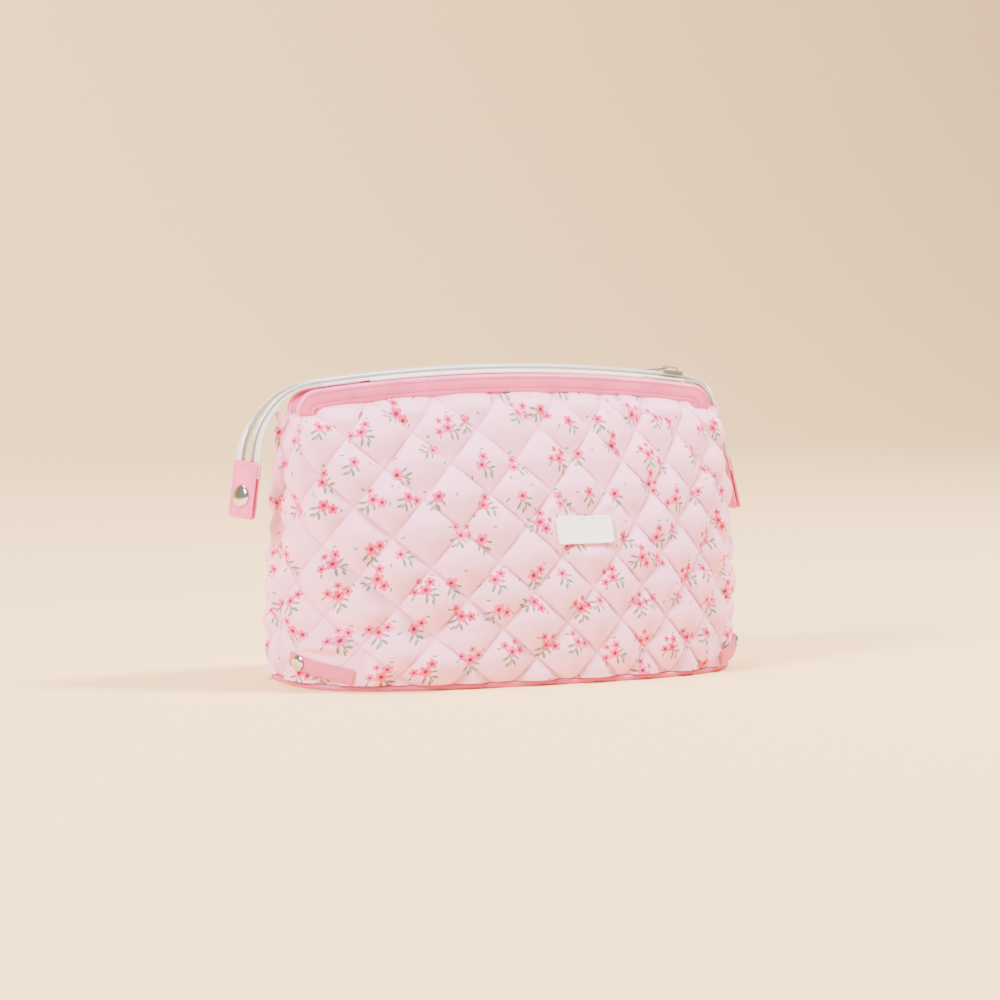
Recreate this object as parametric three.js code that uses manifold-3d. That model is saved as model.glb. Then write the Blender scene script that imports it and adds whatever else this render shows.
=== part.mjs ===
// Quilted zip-top makeup bag on two hinged steel mouth frames.
// Millimetres, +Z up, +X along the mouth. The origin is the centre of the underside of the base.

import * as THREE from 'three';
import Module from 'manifold-3d';
import { mergeVertices } from 'three/addons/utils/BufferGeometryUtils.js';

const wasm = await Module();
wasm.setup();

// ---------------------------------------------------------------- driving dimensions

const GAP = 0.3; // between pieces that touch on the real bag

const BASE_HALF_LENGTH = 136;
const BASE_HALF_DEPTH = 70;
const BASE_SQUARENESS = 2.9; // exponent of the rounded plan outline
const COIL_TOP_HEIGHT = 177; // at the middle of the mouth
const SHOULDER_DROP = 14; // the body is narrowest this far below the coil's top
const SHOULDER_HALF_LENGTH = 131.5;
const SHOULDER_HALF_DEPTH = 14;
const SHOULDER_SQUARENESS = 5;
const LEAN_POWER = 2.2; // how late the front and back lean together

const PANEL_THICKNESS = 4.5; // quilted fabric with its wadding
const LINING_THICKNESS = 0.8;
const BASE_PANEL_THICKNESS = 3;
const BASE_BOARD_THICKNESS = 2;
const FRAME_HEIGHT = 55; // from the line that both frames turn about to the coil's top
const FLEX_DROP = 6; // the panels fold above a line this far below the hinge line

const ARCH_RADIUS = 900; // the mouth is an arch of this radius
const COIL_WIDTH = 2.8;
const COIL_HEIGHT = 2.6;
const COIL_PARTING = 5; // clear slot between the two coils
const TAPE_THICKNESS = 0.7;
const TAPE_WIDTH = 6.2;
const TAPE_DROP = 1.7; // how far the tape falls from coil to band
const ZIP_END_INSET = 12.5; // the tail starts this far inside the frame's legs
const ZIP_END_LENGTH = 15; // fixed end of the zip, beyond the part that moves with the frames
const TAIL_TAPE_WIDTH = 9.5;

const WIRE_DIAMETER = 2.6;
const FRAME_SIDE_CLEARANCE = 0.2; // between the wire's legs and the side fabric
const FRAME_CORNER_RADIUS = 10;
const FRAME_END_OFFSET = 2.4; // wire end from the hinge line, across the bag
const BAND_HEIGHT = 10;
const BAND_PLY = 1;
const BAND_LEG_COVER = 1; // length of straight leg that the band covers
const BAND_ZIP_CLEARANCE = 2; // between the coil and the band's inner face, at its top

const POCKET_SIZE = [1.2, 18, 24];
const GUSSET_DEPTH = 11;
const GUSSET_SPREAD = 3.4;

const TAB_WIDTH = 19;
const TAB_LENGTH = 32;
const TAB_PLY = 1.2;
const TAB_CORNER = 2;
const TAB_OVERLAP = 9; // length of tape held inside the tab
const SNAP_DROP = 19.5; // snap centre below the tab's top edge
const SNAP_CAP_RADIUS = 6.25;
const SNAP_POST_RADIUS = 2;
const SNAP_CAP_HEIGHT = 2.6;
const SNAP_CAP_DOME = [[1, 0.2], [0.88, 0.55], [0.6, 0.85]]; // shares of its radius and height
const SOCKET_RADIUS = 5.5;
const SOCKET_HEIGHT = 2.1;

const SLIDER_LENGTH = 11;
const SLIDER_PLATE = 0.7;
const SLIDER_FLANGE = 0.7;
const SLIDER_REST_INSET = 19.5; // its middle, from the frame's leg, with the bag open
const SLIDER_SLACK = 0.35;
const BRIDGE_REACH = 4.6;
const BRIDGE_HEIGHT = 2.3;
const BRIDGE_WIDTH = 2;
const BRIDGE_BAR = 0.6;
const PULLER_LENGTH = 22;
const PULLER_SIDE_SLACK = 0.4; // it hangs in the slot between the coils
const PULLER_THICKNESS = 0.8;
const PULLER_PIVOT_X = 3; // the puller's end bar, from the slider's middle
const PULLER_DROOP = THREE.MathUtils.degToRad(11);

const LABEL_SIZE = [34, 16, 1];
const LABEL_X = 25;
const LABEL_HEIGHT = 85;

const STRAP_WIDTH = 8;
const STRAP_THICKNESS = 1.4;
const STRAP_STANDOFF = 1;
const STRAP_LENGTH = 36;
const STRAP_SEAM_OFFSET = 18; // from the side seam to the strap's free end
const STRAP_LOW = 8; // height of the strap's middle at the base seam
const STRAP_HIGH = 16; // and at its free end
const STRAP_STUD_RADIUS = 4.6;
const STRAP_STUD_HEIGHT = 1.8;
const STRAP_STUD_CHAMFER = 0.7;
const STRAP_POST_RADIUS = 1.6;

// Where each tail ends: the middle of the tab's top edge, out from the body's side and down from the
// coil's top, with its lean out and its twist to the front.
const TAILS = {
  left: { reach: 19.45, shift: 0, drop: 52.5, lean: 7, twist: -23 },
  right: { reach: 9.35, shift: 8, drop: 56, lean: 14, twist: 0 },
};
const TAIL_PULL = 0.45; // how far the tail's curve keeps its end directions, as a share of its span
const TAIL_TWISTS = [0.3, 1]; // shares of the tail's length between which each change happens
const TAIL_SINKS = [0.4, 0.9];
const TAIL_WIDENS = [0.3, 0.6];
const TAIL_FLATTENS = [0.1, 0.5];

const PANEL_COLUMNS = 36; // facets of each wall, round the bag
const PANEL_ROWS = 5; // and up it, the same in the panel and its lining, so that they nest
const PANEL_TOP_ROWS = 4;
const ROUND = 24; // sides of a turned piece

// ---------------------------------------------------------------- finishes

function finish(color, roughness, metalness = 0) {
  return new THREE.MeshStandardMaterial({ color, roughness, metalness });
}

const quilt = () => finish(0xf8dbe2, 0.85);
const leatherette = () => finish(0xf3a5c0, 0.4);
const lining = () => finish(0xc73a60, 0.8);
const tapeWeave = () => finish(0xf4ecec, 0.8);
const silverCoil = () => finish(0xc9c9c6, 0.35, 0.6);
const chrome = () => finish(0xd6d6d8, 0.12, 1);
const steel = () => finish(0x9b9da0, 0.35, 1);
const board = () => finish(0xb9a58c, 0.9);
const labelRubber = () => finish(0xf7f5f4, 0.5);

// ---------------------------------------------------------------- solids

// Merges shared points, drops empty triangles and turns the faces outwards.
function solid(geometry) {
  const bare = geometry.clone();
  for (const name of ['normal', 'uv']) {
    bare.deleteAttribute(name);
  }
  const merged = mergeVertices(bare, 1e-4);
  const old = merged.index.array;
  const index = [];
  for (let i = 0; i < old.length; i += 3) {
    const [a, b, c] = [old[i], old[i + 1], old[i + 2]];
    if (a !== b && b !== c && c !== a) {
      index.push(a, b, c);
    }
  }
  if (signedVolume(merged.attributes.position, index) < 0) {
    index.reverse();
  }
  merged.setIndex(index);
  merged.computeVertexNormals();
  return merged;
}

function signedVolume(position, index) {
  const [a, b, c] = [new THREE.Vector3(), new THREE.Vector3(), new THREE.Vector3()];
  let volume = 0;
  for (let i = 0; i < index.length; i += 3) {
    a.fromBufferAttribute(position, index[i]);
    b.fromBufferAttribute(position, index[i + 1]);
    c.fromBufferAttribute(position, index[i + 2]);
    volume += a.dot(b.cross(c)) / 6;
  }
  return volume;
}

function toManifold(geometry) {
  const body = solid(geometry);
  return new wasm.Manifold(new wasm.Mesh({
    numProp: 3,
    vertProperties: new Float32Array(body.attributes.position.array),
    triVerts: new Uint32Array(body.index.array),
  }));
}

function fromManifold(manifold) {
  const mesh = manifold.getMesh();
  const geometry = new THREE.BufferGeometry();
  geometry.setAttribute('position', new THREE.BufferAttribute(mesh.vertProperties, 3));
  geometry.setIndex([...mesh.triVerts]);
  return solid(geometry);
}

const cut = (body, tool) => fromManifold(toManifold(body).subtract(toManifold(tool)));
const join = (one, other) => fromManifold(toManifold(one).add(toManifold(other)));

function part(name, geometry, material) {
  const mesh = new THREE.Mesh(solid(geometry), material);
  mesh.name = name;
  return mesh;
}

function group(...children) {
  const made = new THREE.Group();
  made.add(...children);
  return made;
}

function fromTriangles(points, index) {
  const geometry = new THREE.BufferGeometry();
  const flat = points.flatMap((p) => [p.x, p.y, p.z]);
  geometry.setAttribute('position', new THREE.Float32BufferAttribute(flat, 3));
  geometry.setIndex(index);
  return geometry;
}

// A wall between two grids of points, closed round its four edges.
function wallSolid(outer, inner) {
  const columns = outer.length;
  const rows = outer[0].length;
  const points = [...outer.flat(), ...inner.flat()];
  const out = (i, j) => i * rows + j;
  const inn = (i, j) => columns * rows + i * rows + j;
  const index = [];
  const quad = (a, b, c, d) => index.push(a, b, c, a, c, d);
  for (let i = 0; i < columns - 1; i += 1) {
    for (let j = 0; j < rows - 1; j += 1) {
      quad(out(i, j), out(i + 1, j), out(i + 1, j + 1), out(i, j + 1));
      quad(inn(i, j), inn(i, j + 1), inn(i + 1, j + 1), inn(i + 1, j));
    }
    quad(out(i, 0), inn(i, 0), inn(i + 1, 0), out(i + 1, 0));
    quad(out(i, rows - 1), out(i + 1, rows - 1), inn(i + 1, rows - 1), inn(i, rows - 1));
  }
  for (let j = 0; j < rows - 1; j += 1) {
    const last = columns - 1;
    quad(out(0, j), out(0, j + 1), inn(0, j + 1), inn(0, j));
    quad(out(last, j), inn(last, j), inn(last, j + 1), out(last, j + 1));
  }
  return fromTriangles(points, index);
}

// Sweeps a flat section along stations. Each station holds an origin and its across and up directions.
function sweep(stations, sectionAt) {
  const count = sectionAt(0).length;
  const points = [];
  stations.forEach((station, k) => {
    for (const [p, q] of sectionAt(k / (stations.length - 1))) {
      points.push(station.origin.clone().addScaledVector(station.across, p).addScaledVector(station.up, q));
    }
  });
  const index = [];
  for (let k = 0; k < stations.length - 1; k += 1) {
    for (let m = 0; m < count; m += 1) {
      const next = (m + 1) % count;
      const [a, b] = [k * count + m, k * count + next];
      index.push(a, b, b + count, a, b + count, a + count);
    }
  }
  const last = (stations.length - 1) * count;
  for (const [start, offset] of [[0, 0], [1, last]]) {
    const contour = sectionAt(start).map(([p, q]) => new THREE.Vector2(p, q));
    for (const [a, b, c] of THREE.ShapeUtils.triangulateShape(contour, [])) {
      index.push(...(start ? [a, b, c] : [c, b, a]).map((v) => v + offset));
    }
  }
  return fromTriangles(points, index);
}

function circleSection(radius, sides = 8) {
  return Array.from({ length: sides }, (_, i) => {
    const angle = ((i + 0.5) / sides) * 2 * Math.PI;
    return [radius * Math.cos(angle), radius * Math.sin(angle)];
  });
}

function extrude(points, depth, holes = []) {
  const shape = new THREE.Shape(points.map(([x, y]) => new THREE.Vector2(x, y)));
  for (const [x, y, radius] of holes) {
    const hole = new THREE.Path();
    hole.absarc(x, y, radius, 0, 2 * Math.PI);
    shape.holes.push(hole);
  }
  return new THREE.ExtrudeGeometry(shape, { depth, bevelEnabled: false, curveSegments: ROUND / 2 });
}

function turned(profile) {
  return new THREE.LatheGeometry(profile.map(([r, h]) => new THREE.Vector2(r, h)), ROUND);
}

// ---------------------------------------------------------------- lines that pieces share

const shoulderHeight = () => COIL_TOP_HEIGHT - SHOULDER_DROP;
const hingeHeight = () => COIL_TOP_HEIGHT - FRAME_HEIGHT;
const flexHeight = () => hingeHeight() - FLEX_DROP;
const frameHalfLength = () => {
  return SHOULDER_HALF_LENGTH - PANEL_THICKNESS - FRAME_SIDE_CLEARANCE - WIRE_DIAMETER / 2;
};
const zipEndReach = () => frameHalfLength() - ZIP_END_INSET;
const mouthCoilHalfLength = () => zipEndReach() - ZIP_END_LENGTH;
const bandInnerOffset = () => COIL_PARTING / 2 + COIL_WIDTH + BAND_ZIP_CLEARANCE;

// ---------------------------------------------------------------- shape of the body

// Plan outline of the soft body at one height, as half sizes and squareness.
function outlineAt(height) {
  const rise = THREE.MathUtils.clamp(height / shoulderHeight(), 0, 1);
  return {
    halfLength: THREE.MathUtils.lerp(BASE_HALF_LENGTH, SHOULDER_HALF_LENGTH, rise ** 2),
    halfDepth: THREE.MathUtils.lerp(BASE_HALF_DEPTH, SHOULDER_HALF_DEPTH, rise ** LEAN_POWER),
    squareness: THREE.MathUtils.lerp(BASE_SQUARENESS, SHOULDER_SQUARENESS, rise ** 3),
  };
}

// A point on the front half of the outline: turn 0 is the left end and 1 the right end.
function frontPoint(height, turn, inset = 0) {
  const { halfLength, halfDepth, squareness } = outlineAt(height);
  const [a, b] = [halfLength - inset, halfDepth - inset];
  const seam = Math.asin((GAP / 2 / b) ** (squareness / 2));
  const angle = THREE.MathUtils.lerp(Math.PI - seam, seam, turn);
  const bend = 2 / squareness;
  const x = a * Math.sign(Math.cos(angle)) * Math.abs(Math.cos(angle)) ** bend;
  return new THREE.Vector3(x, -b * Math.sin(angle) ** bend, height);
}

const archHeight = (x) => COIL_TOP_HEIGHT - ARCH_RADIUS + Math.sqrt(ARCH_RADIUS ** 2 - x ** 2);

// Half of a wall of the body, front or back, between two heights.
function bodyWall(isFront, low, highAt, inset, thickness, rows) {
  const grid = (depth) => Array.from({ length: PANEL_COLUMNS + 1 }, (_, i) => {
    const turn = i / PANEL_COLUMNS;
    const high = highAt(frontPoint(shoulderHeight(), turn).x);
    return Array.from({ length: rows + 1 }, (__, j) => {
      return frontPoint(THREE.MathUtils.lerp(low, high, j / rows), turn, depth);
    });
  });
  const geometry = wallSolid(grid(inset), grid(inset + thickness));
  return isFront ? geometry : geometry.rotateZ(Math.PI);
}

// ---------------------------------------------------------------- base, walls and lining

// A flat plate of the outline that the body has at the plate's top.
function plate(inset, low, thickness) {
  const count = 2 * PANEL_COLUMNS;
  const half = Array.from({ length: count }, (_, i) => frontPoint(low + thickness, (i + 0.5) / count, inset));
  const outline = [...half.map((p) => [p.x, p.y]), ...half.map((p) => [-p.x, -p.y])];
  return extrude(outline, thickness).translate(0, 0, low);
}

function basePieces() {
  const boardLow = BASE_PANEL_THICKNESS + GAP;
  const liningLow = boardLow + BASE_BOARD_THICKNESS + GAP;
  const wall = PANEL_THICKNESS + GAP;
  return [
    part('base_panel', plate(0, 0, BASE_PANEL_THICKNESS), leatherette()),
    part('base_board', plate(wall + LINING_THICKNESS + GAP, boardLow, BASE_BOARD_THICKNESS), board()),
    part('lining_floor', plate(wall + LINING_THICKNESS + GAP, liningLow, LINING_THICKNESS), lining()),
  ];
}

// Height of the fabric's top edge: under the band along the mouth, lower at its two ends.
function shoulderAt(x) {
  const cornerStart = frameHalfLength() - FRAME_CORNER_RADIUS;
  const underBand = archHeight(x) - bandDrop() - BAND_HEIGHT - 2 * GAP;
  const atEnds = bandEndHeight() - 2 * GAP;
  const falls = [cornerStart - 2 * BAND_HEIGHT, cornerStart - BAND_HEIGHT / 2];
  const blend = THREE.MathUtils.smoothstep(Math.abs(x), ...falls);
  return THREE.MathUtils.lerp(underBand, Math.min(atEnds, underBand), blend);
}

function wallPieces() {
  const panelLow = BASE_PANEL_THICKNESS + GAP;
  const liningInset = PANEL_THICKNESS + GAP;
  const pieces = [];
  for (const [side, isFront] of [['front', true], ['back', false]]) {
    const lower = bodyWall(isFront, panelLow, flexHeight, 0, PANEL_THICKNESS, PANEL_ROWS);
    const upper = bodyWall(isFront, flexHeight() + GAP, shoulderAt, 0, PANEL_THICKNESS, PANEL_TOP_ROWS);
    const inside = bodyWall(isFront, panelLow, flexHeight, liningInset, LINING_THICKNESS, PANEL_ROWS);
    pieces.push(
      part(`${side}_panel`, lower, quilt()),
      part(`${side}_panel_top`, upper, quilt()),
      part(`${side}_lining`, inside, lining()),
    );
  }
  return pieces;
}

function labelPiece() {
  const { halfDepth } = outlineAt(LABEL_HEIGHT);
  const lean = Math.atan2(outlineAt(LABEL_HEIGHT - 1).halfDepth - outlineAt(LABEL_HEIGHT + 1).halfDepth, 2);
  const [width, height, thickness] = LABEL_SIZE;
  const mesh = part('label', new THREE.BoxGeometry(width, thickness, height), labelRubber());
  mesh.position.set(LABEL_X, -halfDepth - thickness / 2 - 2 * GAP, LABEL_HEIGHT);
  mesh.rotation.x = -lean;
  return mesh;
}

// ---------------------------------------------------------------- mouth frames

const bandThickness = () => WIRE_DIAMETER + 2 * GAP + 2 * BAND_PLY;
const bandDrop = () => COIL_HEIGHT + GAP + TAPE_THICKNESS + TAPE_DROP + GAP;
const wireDrop = () => bandDrop() + BAND_PLY + GAP + WIRE_DIAMETER / 2;

// The wire's outline in its own plane: heights are above the hinge line, along the leaning plane.
function frameOutline() {
  const bandTop = COIL_TOP_HEIGHT - bandDrop();
  const planeOffset = bandInnerOffset() + bandThickness() / 2 - FRAME_END_OFFSET;
  const lean = Math.atan2(planeOffset, bandTop - hingeHeight());
  const legX = frameHalfLength();
  const cornerX = legX - FRAME_CORNER_RADIUS;
  const joinX = cornerX / (1 - FRAME_CORNER_RADIUS / ARCH_RADIUS);
  const sweepAngle = Math.PI / 2 - Math.asin(joinX / ARCH_RADIUS);
  const wireTop = (COIL_TOP_HEIGHT - wireDrop() - hingeHeight()) / Math.cos(lean);
  const topAt = (x) => wireTop - (COIL_TOP_HEIGHT - archHeight(x));
  const cornerRise = topAt(joinX) - FRAME_CORNER_RADIUS * Math.sin(sweepAngle);
  return { lean, legX, cornerX, joinX, sweepAngle, topAt, cornerRise };
}

// Height of the band's two lower ends, on the legs.
function bandEndHeight() {
  const { lean, cornerRise } = frameOutline();
  const alongLeg = (cornerRise - BAND_LEG_COVER) * Math.cos(lean);
  return hingeHeight() + alongLeg - (bandThickness() / 2) * Math.sin(lean);
}

// Stations along the wire from one leg to the other, with legs starting at the given rise.
function frameStations(legStart) {
  const { legX, cornerX, joinX, sweepAngle, topAt, cornerRise } = frameOutline();
  const half = [[legX, legStart, 0]];
  const cornerSteps = 6;
  for (let i = 0; i <= cornerSteps; i += 1) {
    const angle = (i / cornerSteps) * sweepAngle;
    const x = cornerX + FRAME_CORNER_RADIUS * Math.cos(angle);
    half.push([x, cornerRise + FRAME_CORNER_RADIUS * Math.sin(angle), angle]);
  }
  const topSteps = 8;
  for (let i = 1; i <= topSteps; i += 1) {
    const x = joinX * (1 - i / topSteps);
    half.push([x, topAt(x), Math.PI / 2 - Math.asin(x / ARCH_RADIUS)]);
  }
  const left = half.map(([x, rise, angle]) => [-x, rise, Math.PI - angle]);
  return [...left, ...half.slice(0, -1).reverse()].map(([x, rise, angle]) => ({
    origin: new THREE.Vector3(x, 0, rise),
    across: new THREE.Vector3(Math.cos(angle), 0, Math.sin(angle)),
    up: new THREE.Vector3(0, -1, 0),
  }));
}

// A folded band: two plies over the wire, open towards the bag.
function bandSection() {
  const outer = WIRE_DIAMETER / 2 + GAP + BAND_PLY;
  const slot = WIRE_DIAMETER / 2 + GAP;
  const low = outer - BAND_HEIGHT;
  const chamfer = BAND_PLY;
  return [
    [low, -outer], [outer - chamfer, -outer], [outer, chamfer - outer],
    [outer, outer - chamfer], [outer - chamfer, outer], [low, outer],
    [low, slot], [slot, slot], [slot, -slot], [low, -slot],
  ];
}

// Stations along the arch of the mouth, over the coil's top.
function archStations(from, to, steps) {
  return Array.from({ length: steps + 1 }, (_, k) => {
    const x = THREE.MathUtils.lerp(from, to, k / steps);
    const tilt = Math.asin(x / ARCH_RADIUS);
    return {
      origin: new THREE.Vector3(x, 0, archHeight(x)),
      across: new THREE.Vector3(0, 1, 0),
      up: new THREE.Vector3(Math.sin(tilt), 0, Math.cos(tilt)),
    };
  });
}

const coilCentre = () => [-(COIL_PARTING + COIL_WIDTH) / 2, -COIL_HEIGHT / 2];

function coilSection() {
  const [y, z] = coilCentre();
  const round = 1 / Math.cos(Math.PI / 8);
  return circleSection(round / 2).map(([p, q]) => [y + p * COIL_WIDTH, z + q * COIL_HEIGHT]);
}

// The tape lies under its coil, then falls towards the band.
function tapeSection(width = TAPE_WIDTH, drop = TAPE_DROP) {
  const top = -COIL_HEIGHT - GAP;
  const inner = -COIL_PARTING / 2 - GAP;
  const knee = inner - COIL_WIDTH;
  return [
    [inner, top], [knee, top], [inner - width, top - drop],
    [inner - width, top - drop - TAPE_THICKNESS], [knee, top - TAPE_THICKNESS], [inner, top - TAPE_THICKNESS],
  ];
}

function frameGroup(side) {
  const { lean, cornerRise } = frameOutline();
  const wire = sweep(frameStations(0), () => circleSection(WIRE_DIAMETER / 2));
  const band = sweep(frameStations(cornerRise - BAND_LEG_COVER), bandSection);
  const plane = group(
    part(`${side}_wire`, wire, steel()),
    part(`${side}_band`, band, leatherette()),
  );
  plane.position.set(0, -FRAME_END_OFFSET, hingeHeight());
  plane.rotation.x = lean;
  const stations = archStations(-mouthCoilHalfLength(), mouthCoilHalfLength(), 20);
  const whole = group(
    plane,
    part(`${side}_tape`, sweep(stations, () => tapeSection()), tapeWeave()),
    part(`${side}_coil`, sweep(stations, coilSection), silverCoil()),
  );
  whole.rotation.z = side === 'front' ? 0 : Math.PI;
  return whole;
}

// A patch inside each side that holds the lower ends of both wires.
function pocketPiece(side, sign) {
  const [thickness, depth, height] = POCKET_SIZE;
  const x = frameHalfLength() - WIRE_DIAMETER / 2 - 2 * GAP - thickness / 2;
  const mesh = part(`${side}_frame_pocket`, new THREE.BoxGeometry(thickness, depth, height), leatherette());
  mesh.position.set(sign * x, 0, hingeHeight());
  return mesh;
}

// The side of the bag folds inwards between the two frames.
function gussetPiece(side, sign) {
  const outer = frameHalfLength() - WIRE_DIAMETER / 2 - 2 * GAP;
  const crease = outer - GUSSET_DEPTH;
  const outline = [
    [outer, -GUSSET_SPREAD], [outer, -GUSSET_SPREAD + LINING_THICKNESS], [crease + LINING_THICKNESS, 0],
    [outer, GUSSET_SPREAD - LINING_THICKNESS], [outer, GUSSET_SPREAD], [crease - LINING_THICKNESS, 0],
  ];
  const low = hingeHeight() + POCKET_SIZE[2] / 2 + 2 * GAP;
  const high = bandEndHeight() - 2 * GAP;
  const mesh = part(`${side}_gusset`, extrude(outline, high - low), quilt());
  mesh.position.z = low;
  mesh.rotation.z = sign > 0 ? 0 : Math.PI;
  return mesh;
}

// ---------------------------------------------------------------- zip ends and tails

// Coil and tape as one stringer, with its coil and tape sizes changing along it.
function stringerSection(coilHeight, tapeWidth, drop) {
  const outer = -COIL_PARTING / 2;
  const top = -COIL_HEIGHT - GAP;
  const knee = outer - COIL_WIDTH;
  return [
    [outer, top + coilHeight], [knee, top + coilHeight], [knee, top],
    [outer - tapeWidth, top - drop], [outer - tapeWidth, top - drop - TAPE_THICKNESS],
    [knee, top - TAPE_THICKNESS], [outer, top - TAPE_THICKNESS],
  ];
}

const mirrored = (section) => section.map(([p, q]) => [-p, q]).reverse();

function zipEndPieces(side, sign) {
  const stations = archStations(mouthCoilHalfLength() + GAP, zipEndReach(), 4);
  const width = bandInnerOffset() - COIL_PARTING / 2 - 2 * GAP;
  const section = stringerSection(COIL_HEIGHT + GAP, width, TAPE_DROP / 2);
  const pair = [['near', section], ['far', mirrored(section)]].map(([which, outline]) => {
    const face = (which === 'near') === (sign > 0) ? 'front' : 'back';
    return part(`${side}_end_${face}_stringer`, sweep(stations, () => outline), tapeWeave());
  });
  const pieces = group(...pair);
  pieces.rotation.z = sign > 0 ? 0 : Math.PI;
  return pieces;
}

// The tail leaves the arch's end along it, and comes down into the tab.
function tailCurve(tail) {
  const slope = Math.asin(zipEndReach() / ARCH_RADIUS);
  const start = new THREE.Vector3(zipEndReach() + GAP, 0, archHeight(zipEndReach() + GAP));
  const endHeight = COIL_TOP_HEIGHT - tail.drop;
  const side = outlineAt(endHeight - TAB_LENGTH).halfLength; // of the body, at the tab's foot
  const end = new THREE.Vector3(side + tail.reach, tail.shift, endHeight);
  const pull = TAIL_PULL * start.distanceTo(end);
  const lean = THREE.MathUtils.degToRad(tail.lean);
  const along = new THREE.Vector3(Math.cos(slope), 0, -Math.sin(slope));
  const back = new THREE.Vector3(-Math.sin(lean), 0, Math.cos(lean));
  const leave = start.clone().addScaledVector(along, pull);
  const arrive = end.clone().addScaledVector(back, pull);
  return new THREE.CubicBezierCurve3(start, leave, arrive, end);
}

// Stations down the tail and on into the tab, turning to the tab's twist.
function tailStations(tail) {
  const curve = tailCurve(tail);
  const lift = COIL_HEIGHT + GAP + TAPE_THICKNESS / 2;
  const steps = 12;
  const stations = Array.from({ length: steps + 1 }, (_, k) => {
    const s = k / steps;
    const twist = THREE.MathUtils.degToRad(tail.twist) * THREE.MathUtils.smoothstep(s, ...TAIL_TWISTS);
    const along = curve.getPointAt(s);
    const down = curve.getTangentAt(s);
    const across = new THREE.Vector3(0, 1, 0).applyAxisAngle(down, twist);
    across.addScaledVector(down, -across.dot(down)).normalize();
    const up = new THREE.Vector3().crossVectors(down, across);
    const sunk = lift * THREE.MathUtils.smoothstep(s, ...TAIL_SINKS);
    return { origin: along.addScaledVector(up, sunk), across, up, down };
  });
  const last = stations[steps];
  stations.push({ ...last, origin: last.origin.clone().addScaledVector(last.down, TAB_OVERLAP) });
  return stations;
}

function tailPieces(side, sign, tail) {
  const stations = tailStations(tail);
  const coilStop = (stations.length - 2.2) / (stations.length - 1);
  const widest = TAIL_TAPE_WIDTH - COIL_PARTING / 2;
  const narrow = bandInnerOffset() - COIL_PARTING / 2 - 2 * GAP;
  const sectionAt = (s) => {
    const width = THREE.MathUtils.lerp(narrow, widest, THREE.MathUtils.smoothstep(s, ...TAIL_WIDENS));
    const drop = (TAPE_DROP / 2) * (1 - THREE.MathUtils.smoothstep(s, ...TAIL_FLATTENS));
    return stringerSection(s < coilStop ? COIL_HEIGHT + GAP : TAPE_THICKNESS / 8, width, drop);
  };
  const near = sign > 0 ? 'front' : 'back';
  const far = sign > 0 ? 'back' : 'front';
  const pieces = group(
    part(`${side}_tail_${near}_stringer`, sweep(stations, sectionAt), tapeWeave()),
    part(`${side}_tail_${far}_stringer`, sweep(stations, (s) => mirrored(sectionAt(s))), tapeWeave()),
    tabGroup(side, stations[stations.length - 2]),
  );
  pieces.rotation.z = sign > 0 ? 0 : Math.PI;
  return pieces;
}

function tabPly(name, low) {
  const [x, top, bottom, r] = [TAB_WIDTH / 2, 0, -TAB_LENGTH, TAB_CORNER];
  const outline = [
    [x, top - r], [x - r, top], [r - x, top], [-x, top - r],
    [-x, bottom + r], [r - x, bottom], [x - r, bottom], [x, bottom + r],
  ];
  const hole = [0, -SNAP_DROP, SNAP_POST_RADIUS + GAP];
  return part(name, extrude(outline, TAB_PLY, [hole]).translate(0, 0, low), leatherette());
}

// Two plies hold the tape's end, and a snap joins them. Local Z is the tab's outer face.
function tabGroup(side, station) {
  const face = TAPE_THICKNESS / 2 + GAP;
  const outside = face + TAB_PLY + GAP;
  const [cap, post, socket] = [SNAP_CAP_RADIUS, SNAP_POST_RADIUS, SOCKET_RADIUS];
  const capShape = turned([
    [0, -outside - SOCKET_HEIGHT + GAP], [post, -outside - SOCKET_HEIGHT + GAP],
    [post, outside], [cap, outside],
    ...SNAP_CAP_DOME.map(([wide, tall]) => [wide * cap, outside + tall * SNAP_CAP_HEIGHT]),
    [0, outside + SNAP_CAP_HEIGHT],
  ]);
  const bore = post + GAP;
  const socketShape = turned([
    [bore, -outside], [bore, -outside - SOCKET_HEIGHT], [0.8 * socket, -outside - SOCKET_HEIGHT],
    [socket, -outside - 0.6 * SOCKET_HEIGHT], [socket, -outside], [bore, -outside],
  ]);
  const place = (geometry) => geometry.rotateX(Math.PI / 2).translate(0, -SNAP_DROP, 0);
  const tab = group(
    tabPly(`${side}_tab_outer`, face),
    tabPly(`${side}_tab_inner`, -face - TAB_PLY),
    part(`${side}_snap_cap`, place(capShape), chrome()),
    part(`${side}_snap_socket`, place(socketShape), chrome()),
  );
  const tapeMiddle = -COIL_HEIGHT - GAP - TAPE_THICKNESS / 2;
  const frame = new THREE.Matrix4().makeBasis(station.across, station.down.clone().negate(), station.up);
  tab.quaternion.setFromRotationMatrix(frame);
  tab.position.copy(station.origin).addScaledVector(station.up, tapeMiddle);
  return tab;
}

// ---------------------------------------------------------------- slider and puller

const sliderTop = () => SLIDER_SLACK + SLIDER_PLATE;

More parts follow.
